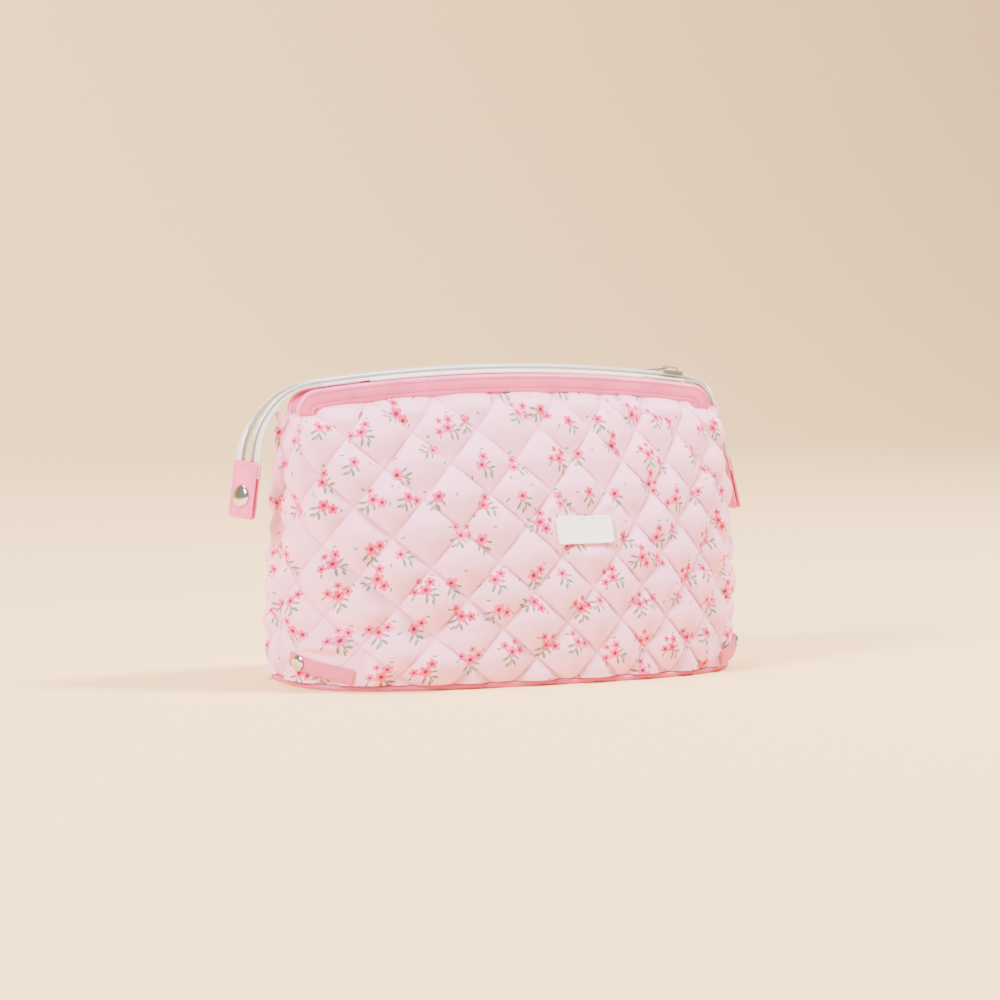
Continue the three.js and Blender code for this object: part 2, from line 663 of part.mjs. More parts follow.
// Two plates and a post between the coils, with lips that close over each coil.
function sliderBody() {
  const post = COIL_PARTING / 2 - SLIDER_SLACK;
  const inside = COIL_PARTING / 2 + COIL_WIDTH + SLIDER_SLACK;
  const outside = inside + SLIDER_FLANGE;
  const roof = SLIDER_SLACK;
  const lip = -COIL_HEIGHT / 2;
  const floor = -COIL_HEIGHT - GAP - TAPE_THICKNESS - 2 * SLIDER_SLACK;
  const half = [
    [post, floor], [outside, floor], [outside, floor - SLIDER_PLATE],
    [-outside, floor - SLIDER_PLATE], [-outside, floor], [-post, floor],
    [-post, roof], [-inside, roof], [-inside, lip], [-outside, lip],
    [-outside, sliderTop()], [outside, sliderTop()], [outside, lip], [inside, lip],
    [inside, roof], [post, roof],
  ];
  const along = extrude(half, SLIDER_LENGTH).translate(0, 0, -SLIDER_LENGTH / 2);
  along.rotateX(Math.PI / 2).rotateZ(Math.PI / 2);
  return join(along, bridgeArch());
}

// A low arch over the top plate that carries the puller's eye.
function bridgeArch() {
  const [reach, bar] = [BRIDGE_REACH, BRIDGE_BAR];
  const low = sliderTop() - SLIDER_PLATE / 2;
  const high = sliderTop() + BRIDGE_HEIGHT;
  const outline = [
    [-reach, low], [bar - reach, low], [bar - reach, high - bar],
    [reach - bar, high - bar], [reach - bar, low], [reach, low],
    [reach, high - bar / 2], [reach - bar, high], [bar - reach, high], [-reach, high - bar / 2],
  ];
  return extrude(outline, BRIDGE_WIDTH).translate(0, 0, -BRIDGE_WIDTH / 2).rotateX(Math.PI / 2);
}

const pullerPivotHeight = () => (BRIDGE_HEIGHT - BRIDGE_BAR + PULLER_THICKNESS / 2) / 2;

// A flat pull whose end bar, at the origin, runs under the bridge.
function pullerShape() {
  const half = COIL_PARTING / 2 - PULLER_SIDE_SLACK;
  const bar = PULLER_THICKNESS / 2;
  const outline = [
    [-bar, -half], [PULLER_LENGTH - half, -half], [PULLER_LENGTH, -half / 2],
    [PULLER_LENGTH, half / 2], [PULLER_LENGTH - half, half], [-bar, half],
  ];
  const flat = extrude(outline, PULLER_THICKNESS).translate(0, 0, -PULLER_THICKNESS / 2);
  const swing = Math.hypot(BRIDGE_REACH - PULLER_PIVOT_X, BRIDGE_HEIGHT - pullerPivotHeight()) + GAP;
  const eye = new THREE.BoxGeometry(swing - bar, BRIDGE_WIDTH + 2 * GAP, 3 * PULLER_THICKNESS);
  return cut(flat, eye.translate((swing + bar) / 2, 0, 0));
}

function sliderGroup() {
  const slider = group(part('slider_body', sliderBody(), chrome()));
  const puller = part('puller', pullerShape(), chrome());
  puller.position.set(-PULLER_PIVOT_X, 0, sliderTop() + pullerPivotHeight());
  puller.rotation.set(0, Math.PI - PULLER_DROOP, 0);
  slider.add(puller);
  const restX = frameHalfLength() - SLIDER_REST_INSET;
  slider.position.set(restX, 0, archHeight(restX));
  slider.rotation.y = Math.asin(restX / ARCH_RADIUS);
  return slider;
}

// ---------------------------------------------------------------- corner straps

// How far round the outline, as a turn, a point lies at this distance from the side seam.
function turnAt(height, distance) {
  const steps = 10 * PANEL_COLUMNS;
  let [walked, k] = [0, 0];
  while (walked < distance && k < steps) {
    walked += frontPoint(height, k / steps).distanceTo(frontPoint(height, (k + 1) / steps));
    k += 1;
  }
  return k / steps;
}

function strapStations() {
  const steps = 10;
  const from = turnAt(STRAP_LOW, STRAP_SEAM_OFFSET + STRAP_LENGTH);
  const to = turnAt(STRAP_HIGH, STRAP_SEAM_OFFSET);
  const place = (s) => {
    const height = THREE.MathUtils.lerp(STRAP_LOW, STRAP_HIGH, s);
    return frontPoint(height, THREE.MathUtils.lerp(from, to, s), -STRAP_STANDOFF);
  };
  return Array.from({ length: steps + 1 }, (_, k) => {
    const s = k / steps;
    const along = place(s + 0.01).sub(place(s - 0.01)).normalize();
    const across = new THREE.Vector3(0, 0, 1).cross(along).normalize();
    const up = new THREE.Vector3().crossVectors(along, across);
    return { origin: place(s), across, up };
  });
}

function strapPieces(side, sign) {
  const half = STRAP_WIDTH / 2;
  const stations = strapStations();
  const section = [[0, -half], [STRAP_THICKNESS, -half], [STRAP_THICKNESS, half], [0, half]];
  const band = sweep(stations, () => section);
  const seat = stations[stations.length - 3];
  const stand = STRAP_THICKNESS + GAP;
  const [r, post, top] = [STRAP_STUD_RADIUS, STRAP_POST_RADIUS, stand + STRAP_STUD_HEIGHT];
  const edge = STRAP_STUD_CHAMFER;
  const stud = turned([
    [0, 0], [post, 0], [post, stand], [r, stand], [r, top - edge], [r - 2 * edge, top], [0, top],
  ]);
  const hole = new THREE.CylinderGeometry(post + GAP, post + GAP, 3 * stand, ROUND);
  const turn = new THREE.Quaternion().setFromUnitVectors(new THREE.Vector3(0, 1, 0), seat.across);
  const seated = (geometry) => geometry.applyQuaternion(turn).translate(...seat.origin.toArray());
  const facing = (geometry) => geometry.scale(-sign, 1, 1);
  return [
    part(`${side}_strap`, facing(cut(band, seated(hole))), leatherette()),
    part(`${side}_strap_stud`, facing(seated(stud)), chrome()),
  ];
}

// ---------------------------------------------------------------- the bag

function makeupBag() {
  const bag = group(...basePieces(), ...wallPieces(), labelPiece());
  bag.add(frameGroup('front'), frameGroup('back'), sliderGroup());
  for (const [side, sign] of [['left', -1], ['right', 1]]) {
    bag.add(pocketPiece(side, sign), gussetPiece(side, sign));
    bag.add(zipEndPieces(side, sign), tailPieces(side, sign, TAILS[side]), ...strapPieces(side, sign));
  }
  return bag;
}

export default makeupBag();
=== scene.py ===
"""A quilted zip-top makeup bag on two hinged mouth frames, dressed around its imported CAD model."""

import logging
import math
from collections.abc import Callable, Sequence
from dataclasses import dataclass
from enum import Enum

import bmesh
import bpy
import numpy as np
from mathutils import Matrix, Vector, noise


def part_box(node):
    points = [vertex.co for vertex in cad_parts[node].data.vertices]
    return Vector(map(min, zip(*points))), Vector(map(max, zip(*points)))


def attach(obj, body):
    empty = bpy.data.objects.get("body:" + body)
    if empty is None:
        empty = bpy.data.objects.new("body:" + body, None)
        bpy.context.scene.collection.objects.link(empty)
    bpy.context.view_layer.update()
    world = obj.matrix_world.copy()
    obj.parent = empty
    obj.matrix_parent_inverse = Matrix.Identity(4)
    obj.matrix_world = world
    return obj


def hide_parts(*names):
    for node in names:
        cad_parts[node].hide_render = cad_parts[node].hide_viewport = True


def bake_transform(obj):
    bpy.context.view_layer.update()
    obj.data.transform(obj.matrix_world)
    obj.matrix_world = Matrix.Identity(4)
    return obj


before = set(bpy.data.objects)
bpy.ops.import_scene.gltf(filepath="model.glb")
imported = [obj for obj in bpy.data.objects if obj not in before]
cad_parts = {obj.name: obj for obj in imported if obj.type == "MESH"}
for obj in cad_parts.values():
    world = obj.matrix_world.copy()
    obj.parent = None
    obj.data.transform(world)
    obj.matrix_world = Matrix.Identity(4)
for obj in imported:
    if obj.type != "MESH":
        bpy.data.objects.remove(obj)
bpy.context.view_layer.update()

MM = 0.001
GAP = 0.3 * MM
log = logging.getLogger("makeup_bag")


class Side(Enum):
    """Front and back of the bag: the turn about the vertical that takes the front there."""

    FRONT = 0.0
    BACK = math.pi

    @property
    def word(self) -> str:
        """The side's name in pieces and bodies."""
        return self.name.lower()


class End(Enum):
    """Left and right end of the bag, as the sign of X."""

    LEFT = -1
    RIGHT = 1

    @property
    def word(self) -> str:
        """The end's name in pieces and bodies."""
        return self.name.lower()


# ---------------------------------------------------------------- shapes shared by the pieces


def smooth(value: np.ndarray | float, low: float, high: float) -> np.ndarray | float:
    """A smooth step from 0 at low to 1 at high."""
    share = np.clip((value - low) / (high - low), 0.0, 1.0)
    return share * share * (3 - 2 * share)


@dataclass(frozen=True)
class BodyShape:
    """The soft body's outline at every height, and the mouth's arch, as the CAD model has them."""

    base_half_length: float = 136 * MM
    base_half_depth: float = 70 * MM
    base_squareness: float = 2.9
    coil_top: float = 177 * MM
    shoulder_drop: float = 14 * MM
    shoulder_half_length: float = 131.5 * MM
    shoulder_half_depth: float = 14 * MM
    shoulder_squareness: float = 5.0
    lean_power: float = 2.2
    arch_radius: float = 900 * MM
    hinge_height: float = 122 * MM
    flex_height: float = 116 * MM
    middle_height: float = 90 * MM

    @property
    def shoulder(self) -> float:
        """Height at which the body is narrowest."""
        return self.coil_top - self.shoulder_drop

    def outline(self, height: np.ndarray) -> tuple[np.ndarray, np.ndarray, np.ndarray]:
        """Half length, half depth and squareness of the plan outline at each height."""
        rise = np.clip(height / self.shoulder, 0.0, 1.0)
        length = self.base_half_length + (self.shoulder_half_length - self.base_half_length) * rise**2
        narrowing = self.shoulder_half_depth - self.base_half_depth
        depth = self.base_half_depth + narrowing * rise**self.lean_power
        square = self.base_squareness + (self.shoulder_squareness - self.base_squareness) * rise**3
        return length, depth, square

    def arch(self, x: np.ndarray | float) -> np.ndarray | float:
        """Height of the coil's top along the mouth."""
        return self.coil_top - self.arch_radius + np.sqrt(self.arch_radius**2 - np.square(x))

    def cloth_shares(self) -> tuple[np.ndarray, np.ndarray, np.ndarray]:
        """Distances along the cloth at mid height, and the shares of the half length and half depth there."""
        angle = np.linspace(0, math.pi, 3001)
        length, depth, square = self.outline(np.array(self.middle_height))
        across = -np.sign(np.cos(angle)) * np.abs(np.cos(angle)) ** (2 / square)
        forward = np.abs(np.sin(angle)) ** (2 / square)
        steps = np.hypot(np.diff(across * length), np.diff(forward * depth))
        along = np.concatenate([[0.0], np.cumsum(steps)])
        return along - along[-1] / 2, across, forward

    def slope(self, height: np.ndarray) -> np.ndarray:
        """Distance up the cloth at the middle of the front, from the base to each height."""
        heights = np.linspace(0.0, self.coil_top, 400)
        steps = np.hypot(np.diff(heights), np.diff(self.outline(heights)[1]))
        return np.interp(height, heights, np.concatenate([[0.0], np.cumsum(steps)]))

    def front(self, along: np.ndarray, height: np.ndarray, inset: np.ndarray | float = 0.0) -> np.ndarray:
        """Points on the front half of the body.

        Args:
            along: distance along the cloth from the middle of the front.
            height: height of each point.
            inset: how far inside the outline the points lie.

        Returns:
            The points, one row each.
        """
        distances, across, forward = self.cloth_shares()
        share, rise = np.interp(along, distances, across), np.interp(along, distances, forward)
        length, depth, square = self.outline(height)
        middle = self.outline(np.array(self.middle_height))[2]
        left = np.clip(1 - rise**middle, 0.0, 1.0) ** (square / middle)
        y = -(depth - inset) * (1 - left) ** (1 / square)
        return np.stack([share * (length - inset), y, height * np.ones_like(y)], axis=1)


BODY = BodyShape()


@dataclass(frozen=True)
class QuiltWarp:
    """Where the quilting lies on the cloth, with distances in units of 100 mm.

    The coefficients come from a least-squares fit and are not design sizes: an even quilt would have
    columns and rows the same distance apart everywhere, and here the columns crowd towards one end.
    """

    column_start: float = 5.4
    column_rate: float = 4.977
    crowd_rate: float = 2.1
    crowd_rise: float = 0.5
    crowd_height: float = 1.71
    crowd_turn: float = 0.307
    crowd_width: float = 0.18
    row_start: float = 8.92
    row_rate: float = -5.66
    row_curve: float = 0.279
    row_tilt: float = 0.31
    row_droop: float = -0.222
    row_twist: float = -0.222
    reach: tuple[float, float] = (-1.35, 1.25)

    def column(self, x: np.ndarray, up: np.ndarray) -> np.ndarray:
        """Half diamonds across, at distances along and up the cloth."""
        crowd = self.crowd_width * np.logaddexp(0.0, (x - self.crowd_turn) / self.crowd_width)
        rate = self.crowd_rate + self.crowd_rise * (up / self.crowd_height) ** 3
        return self.column_start + self.column_rate * x + rate * crowd

    def row(self, x: np.ndarray, up: np.ndarray) -> np.ndarray:
        """Half diamonds down, at distances along and up the cloth."""
        bend = np.clip(x, *self.reach)
        level = self.row_start + self.row_rate * up + self.row_curve * up**2
        return level + self.row_tilt * bend + self.row_droop * bend**2 + self.row_twist * bend * up


WARP = QuiltWarp()


class Rail:
    """A path that carries a section, with its across and up directions."""

    def __init__(self, origins: np.ndarray, across: np.ndarray, up: np.ndarray) -> None:
        """Keeps the path's stations and their distances along it."""
        self.origins, self.across, self.up = (np.asarray(a, float) for a in (origins, across, up))
        steps = np.linalg.norm(np.diff(self.origins, axis=0), axis=1)
        self.reach = np.concatenate([[0.0], np.cumsum(steps)])

    @property
    def length(self) -> float:
        """The path's whole length."""
        return float(self.reach[-1])

    def read(self, rows: np.ndarray, share: np.ndarray) -> np.ndarray:
        """One of the path's arrays at shares of its length."""
        at = np.asarray(share) * self.length
        return np.stack([np.interp(at, self.reach, rows[:, k]) for k in range(3)], axis=-1)

    def place(self, share: np.ndarray, p: np.ndarray, q: np.ndarray) -> np.ndarray:
        """Points beside the path: p across it and q up from it."""
        across, up = self.read(self.across, share), self.read(self.up, share)
        p, q = np.asarray(p)[..., None], np.asarray(q)[..., None]
        return self.read(self.origins, share) + p * across + q * up

    def seats(self, pitch: float, p: float, q: float, tilt: float = 0.0) -> list[Matrix]:
        """Frames for small pieces laid along the path.

        Args:
            pitch: distance between pieces.
            p: distance across the path.
            q: distance up from the path.
            tilt: turn of each piece about the up direction.

        Returns:
            A matrix for each piece, with X along the path and Z up.
        """
        count = max(1, round(self.length / pitch))
        shares = (np.arange(count) + 0.5) / count
        step = 0.2 / count
        here = self.place(shares, np.full(count, p), np.full(count, q))
        ahead = self.place(shares + step, np.full(count, p), np.full(count, q))
        ups = self.read(self.up, shares)
        turn = Matrix.Rotation(tilt, 4, "Z")
        return [seat(Vector(a), Vector(b) - Vector(a), Vector(u)) @ turn for a, b, u in zip(here, ahead, ups)]


def seat(origin: Vector, along: Vector, up: Vector) -> Matrix:
    """A matrix at origin with X along one direction and Z as near as it can be to another."""
    x = along.normalized()
    z = (up - x * up.dot(x)).normalized()
    y = z.cross(x)
    made = Matrix((x, y, z)).transposed().to_4x4()
    made.translation = origin
    return made


# ---------------------------------------------------------------- mesh tools


def surface(
    columns: int,
    rows: int,
    place: Callable[[np.ndarray, np.ndarray], np.ndarray],
    flat: Callable[[np.ndarray, np.ndarray], np.ndarray],
    wrap: bool = False,
) -> bmesh.types.BMesh:
    """A grid of faces put in place by a function, with the cloth's flat coordinates as its UV map.

    Args:
        columns: faces across the grid.
        rows: faces up the grid.
        place: gives the points for shares across and up.
        flat: gives the UV coordinates, in metres, for the same shares.
        wrap: joins the first column to the last.

    Returns:
        The mesh, still open for more work.
    """
    bm = bmesh.new()
    layer = bm.loops.layers.uv.new("cloth")
    bmesh.ops.create_grid(bm, x_segments=columns, y_segments=rows, size=1.0)
    bm.verts.index_update()
    shares = np.array([(v.co.x, v.co.y) for v in bm.verts]) * 0.5 + 0.5
    points = place(shares[:, 0], shares[:, 1])
    flats = flat(shares[:, 0], shares[:, 1])
    for face in bm.faces:
        for loop in face.loops:
            loop[layer].uv = flats[loop.vert.index]
    for vert, point in zip(bm.verts, points):
        vert.co = point
    if wrap:
        bmesh.ops.remove_doubles(bm, verts=bm.verts, dist=1e-7)
    return bm


def swept(rail: Rail, section: Sequence[tuple[float, float]], rows: int) -> bmesh.types.BMesh:
    """A closed section carried along a rail, with its ends filled."""
    outline = np.array(section)
    count = len(outline)
    sides = np.linalg.norm(outline - np.roll(outline, -1, axis=0), axis=1)
    round_it = np.concatenate([[0.0], np.cumsum(sides)])

    def place(s: np.ndarray, t: np.ndarray) -> np.ndarray:
        """Points of the section at each station."""
        k = np.rint(s * count).astype(int) % count
        return rail.place(t, outline[k, 0], outline[k, 1])

    def flat(s: np.ndarray, t: np.ndarray) -> np.ndarray:
        """Distances round the section and along the rail."""
        return np.stack([round_it[np.rint(s * count).astype(int)], t * rail.length], axis=1)

    bm = surface(count, rows, place, flat, wrap=True)
    bmesh.ops.holes_fill(bm, edges=[e for e in bm.edges if e.is_boundary], sides=0)
    bmesh.ops.recalc_face_normals(bm, faces=bm.faces)
    return bm


def shell(bm: bmesh.types.BMesh, inner: np.ndarray, inner_slot: int = 0) -> None:
    """Closes a sheet into a wall: a copy of it goes to the inner points, and their edges are bridged."""
    outer = list(bm.verts)
    made = bmesh.ops.duplicate(bm, geom=list(bm.verts) + list(bm.edges) + list(bm.faces))
    copies = made["vert_map"]
    for vert, point in zip(outer, inner):
        copies[vert].co = point
    faces = [g for g in made["geom"] if isinstance(g, bmesh.types.BMFace)]
    for face in faces:
        face.material_index = inner_slot
    bmesh.ops.reverse_faces(bm, faces=faces)
    edge = [e for e in bm.edges if e.is_boundary]
    bmesh.ops.bridge_loops(bm, edges=edge)
    bmesh.ops.recalc_face_normals(bm, faces=bm.faces)


def turned(profile: Sequence[tuple[float, float]], steps: int = 48) -> bmesh.types.BMesh:
    """A profile of radius and height points spun round Z."""
    bm = bmesh.new()
    verts = [bm.verts.new((r, 0.0, h)) for r, h in profile]
    edges = [bm.edges.new(pair) for pair in zip(verts, verts[1:])]
    bmesh.ops.spin(
        bm, geom=verts + edges, cent=(0, 0, 0), axis=(0, 0, 1), angle=2 * math.pi, steps=steps, use_merge=True
    )
    bmesh.ops.remove_doubles(bm, verts=bm.verts, dist=1e-7)
    bmesh.ops.recalc_face_normals(bm, faces=bm.faces)
    return bm


def plate(width: float, height: float, thickness: float, corner: float, edge: float) -> bmesh.types.BMesh:
    """A flat plate with round corners and softened edges, standing in X and Y with Z through it."""
    bm = bmesh.new()
    bmesh.ops.create_grid(bm, x_segments=1, y_segments=1, size=0.5)
    bmesh.ops.scale(bm, vec=(width, height, 1), verts=bm.verts)
    bmesh.ops.bevel(
        bm, geom=list(bm.verts), offset=corner, affect="VERTICES", segments=5, profile=0.5, material=-1
    )
    top = bmesh.ops.extrude_face_region(bm, geom=list(bm.faces), use_keep_orig=True)
    bmesh.ops.translate(
        bm, vec=(0, 0, thickness), verts=[g for g in top["geom"] if isinstance(g, bmesh.types.BMVert)]
    )
    bmesh.ops.translate(bm, vec=(0, 0, -thickness / 2), verts=bm.verts)
    rims = [e for e in bm.edges if abs(e.verts[0].co.z - e.verts[1].co.z) < edge / 10]
    bmesh.ops.bevel(bm, geom=rims, offset=edge, affect="EDGES", segments=3, profile=0.5, material=-1)
    bmesh.ops.recalc_face_normals(bm, faces=bm.faces)
    flats = [f for f in bm.faces if len(f.verts) > 8]
    bmesh.ops.inset_individual(bm, faces=flats, thickness=edge / 2, depth=0.0)
    return bm


def scatter(unit: bpy.types.Mesh, seats: Sequence[Matrix]) -> bmesh.types.BMesh:
    """Copies of a small mesh at each seat, in one new mesh."""
    bm = bmesh.new()
    for matrix in seats:
        copy = unit.copy()
        copy.transform(matrix)
        bm.from_mesh(copy)
        bpy.data.meshes.remove(copy)
    return bm


def mesh_of(bm: bmesh.types.BMesh, name: str) -> bpy.types.Mesh:
    """Writes a bmesh to a new mesh, with smooth faces."""
    for face in bm.faces:
        face.smooth = True
    mesh = bpy.data.meshes.new(name)
    bm.to_mesh(mesh)
    bm.free()
    return mesh


def piece(
    name: str,
    bm: bmesh.types.BMesh,
    finishes: Sequence[bpy.types.Material],
    sharp: float = 40.0,
    turn: float = 0.0,
) -> bpy.types.Object:
    """Makes a piece of the bag from a bmesh.

    Args:
        name: the piece's name.
        bm: its mesh, freed here.
        finishes: its materials, in slot order.
        sharp: edges that bend more than this many degrees stay sharp.
        turn: turn about the vertical that takes it from the front to its side.

    Returns:
        The new object, at the origin.
    """
    if turn:
        bmesh.ops.rotate(bm, cent=(0, 0, 0), matrix=Matrix.Rotation(turn, 3, "Z"), verts=bm.verts)
    mesh = mesh_of(bm, name)
    mesh.set_sharp_from_angle(angle=math.radians(sharp))
    for finish in finishes:
        mesh.materials.append(finish)
    made = bpy.data.objects.new(name, mesh)
    bpy.context.scene.collection.objects.link(made)
    log.info("%s: %d faces", name, len(mesh.polygons))
    return made


def thread_unit(length: float = 2.3 * MM, width: float = 0.6 * MM) -> bpy.types.Mesh:
    """One stitch: a short rounded length of thread along X."""
    bm = bmesh.new()
    bmesh.ops.create_uvsphere(bm, u_segments=8, v_segments=5, radius=0.5)
    bmesh.ops.rotate(bm, cent=(0, 0, 0), matrix=Matrix.Rotation(math.pi / 2, 3, "Y"), verts=bm.verts)
    bmesh.ops.scale(bm, vec=(length, width, 0.75 * width), verts=bm.verts)
    return mesh_of(bm, "thread_unit")


# ---------------------------------------------------------------- node groups and finishes


def linear(red: int, green: int, blue: int) -> tuple[float, float, float, float]:
    """A colour given in display values, as the linear colour that a shader takes."""

    def channel(value: int) -> float:
        """One channel from 0 to 255."""
        share = value / 255
        return share / 12.92 if share <= 0.04045 else ((share + 0.055) / 1.055) ** 2.4

    return channel(red), channel(green), channel(blue), 1.0


Socket = bpy.types.NodeSocket
Value = float | tuple | Socket


class Graph:
    """A few short calls for adding nodes to a tree."""

    def __init__(self, tree: bpy.types.NodeTree) -> None:
        """Works on one tree."""
        self.tree = tree

    def node(
        self, kind: str, values: dict[int | str, Value] | None = None, **settings: object
    ) -> bpy.types.Node:
        """Adds a node, sets its settings, and fills or links its inputs."""
        made = self.tree.nodes.new(kind)
        for key, value in settings.items():
            setattr(made, key, value)
        for key, value in (values or {}).items():
            if isinstance(value, bpy.types.NodeSocket):
                self.tree.links.new(value, made.inputs[key])
            else:
                made.inputs[key].default_value = value
        return made

    def math(self, operation: str, *values: Value) -> Socket:
        """A Math node's value."""
        return self.node("ShaderNodeMath", dict(enumerate(values)), operation=operation).outputs[0]

    def vector(self, operation: str, *values: Value) -> Socket:
        """A Vector Math node's vector."""
        return self.node("ShaderNodeVectorMath", dict(enumerate(values)), operation=operation).outputs[0]

    def length(self, value: Socket) -> Socket:
        """A vector's length."""
        return self.node("ShaderNodeVectorMath", {0: value}, operation="LENGTH").outputs["Value"]

    def ramp(self, value: Value, low: Value, high: Value) -> Socket:
        """A smooth step from 0 at low to 1 at high."""
        values = {0: value, 1: low, 2: high, 3: 0.0, 4: 1.0}
        return self.node("ShaderNodeMapRange", values, interpolation_type="SMOOTHSTEP").outputs[0]

    def split(self, value: Socket) -> tuple[Socket, Socket, Socket]:
        """A vector's three parts."""
        made = self.node("ShaderNodeSeparateXYZ", {0: value})
        return made.outputs[0], made.outputs[1], made.outputs[2]

    def noise(self, vector: Socket, scale: float, detail: float = 2.0) -> Socket:
        """Plain noise from 0 to 1."""
        return self.node("ShaderNodeTexNoise", {"Vector": vector, "Scale": scale, "Detail": detail}).outputs[0]


def mix_inputs(made: bpy.types.Node, share: Value, one: Value, other: Value) -> None:
    """Sets a colour Mix node's factor and its two colours."""
    made.inputs[0].default_value = share
    made.inputs[6].default_value = one
    made.inputs[7].default_value = other


class Group:
    """A shader node group with named inputs and outputs."""

    def __init__(self, name: str, inputs: dict[str, tuple[str, Value]], outputs: dict[str, str]) -> None:
        """Makes the group's tree and its sockets."""
        self.tree = bpy.data.node_groups.new(name, "ShaderNodeTree")
        for label, (kind, value) in inputs.items():
            made = self.tree.interface.new_socket(name=label, in_out="INPUT", socket_type=f"NodeSocket{kind}")
            made.default_value = value
        for label, kind in outputs.items():
            self.tree.interface.new_socket(name=label, in_out="OUTPUT", socket_type=f"NodeSocket{kind}")
        self.graph = Graph(self.tree)
        self.inputs = self.tree.nodes.new("NodeGroupInput").outputs
        self.result = self.tree.nodes.new("NodeGroupOutput")

    def give(self, **values: Socket) -> None:
        """Links the group's outputs."""
        for label, value in values.items():
            self.tree.links.new(value, self.result.inputs[label])

    def use(self, graph: Graph, values: dict[str, Value]) -> bpy.types.Node:
        """Places the group in another tree."""
        made = graph.tree.nodes.new("ShaderNodeGroup")
        made.node_tree = self.tree
        for key, value in values.items():
            if isinstance(value, bpy.types.NodeSocket):
                graph.tree.links.new(value, made.inputs[key])
            else:
                made.inputs[key].default_value = value
        return made


def flower_group() -> Group:
    """Five round petals about the origin: petal and heart masks."""
    made = Group(
        "ditsy_flower",
        {"Vector": ("Vector", (0, 0, 0)), "Centre": ("Vector", (0, 0, 0)), "Radius": ("Float", 3.0)},
        {"Petal": "Float", "Heart": "Float"},
    )
    g = made.graph
    offset = g.vector("SUBTRACT", made.inputs["Vector"], made.inputs["Centre"])
    x, y, _ = g.split(offset)
    away = g.math("DIVIDE", g.length(offset), made.inputs["Radius"])
    angle = g.math("ADD", g.math("ARCTAN2", y, x), made.inputs["Radius"])
    lobe = g.math("POWER", g.math("ABSOLUTE", g.math("COSINE", g.math("MULTIPLY", angle, 2.5))), 0.7)
    reach = g.math("MULTIPLY_ADD", lobe, 0.45, 0.55)
    made.give(
        Petal=g.math("SUBTRACT", 1.0, g.ramp(g.math("SUBTRACT", away, reach), -0.08, 0.08)),
        Heart=g.math("SUBTRACT", 1.0, g.ramp(away, 0.2, 0.42)),
    )
    return made


def leaf_group() -> Group:
    """One slim leaf or stem: a soft-edged ellipse."""
    made = Group(
        "ditsy_leaf",
        {
            "Vector": ("Vector", (0, 0, 0)),
            "Centre": ("Vector", (0, 0, 0)),
            "Angle": ("Float", 0.0),
            "Shape": ("Vector", (1.5, 0.5, 1)),
        },
        {"Leaf": "Float"},
    )
    g = made.graph
    offset = g.vector("SUBTRACT", made.inputs["Vector"], made.inputs["Centre"])
    turned_offset = g.node(
        "ShaderNodeVectorRotate", {"Vector": offset, "Angle": made.inputs["Angle"]}, rotation_type="Z_AXIS"
    ).outputs[0]
    away = g.length(g.vector("DIVIDE", turned_offset, made.inputs["Shape"]))
    made.give(Leaf=g.math("SUBTRACT", 1.0, g.ramp(away, 0.75, 1.1)))
    return made


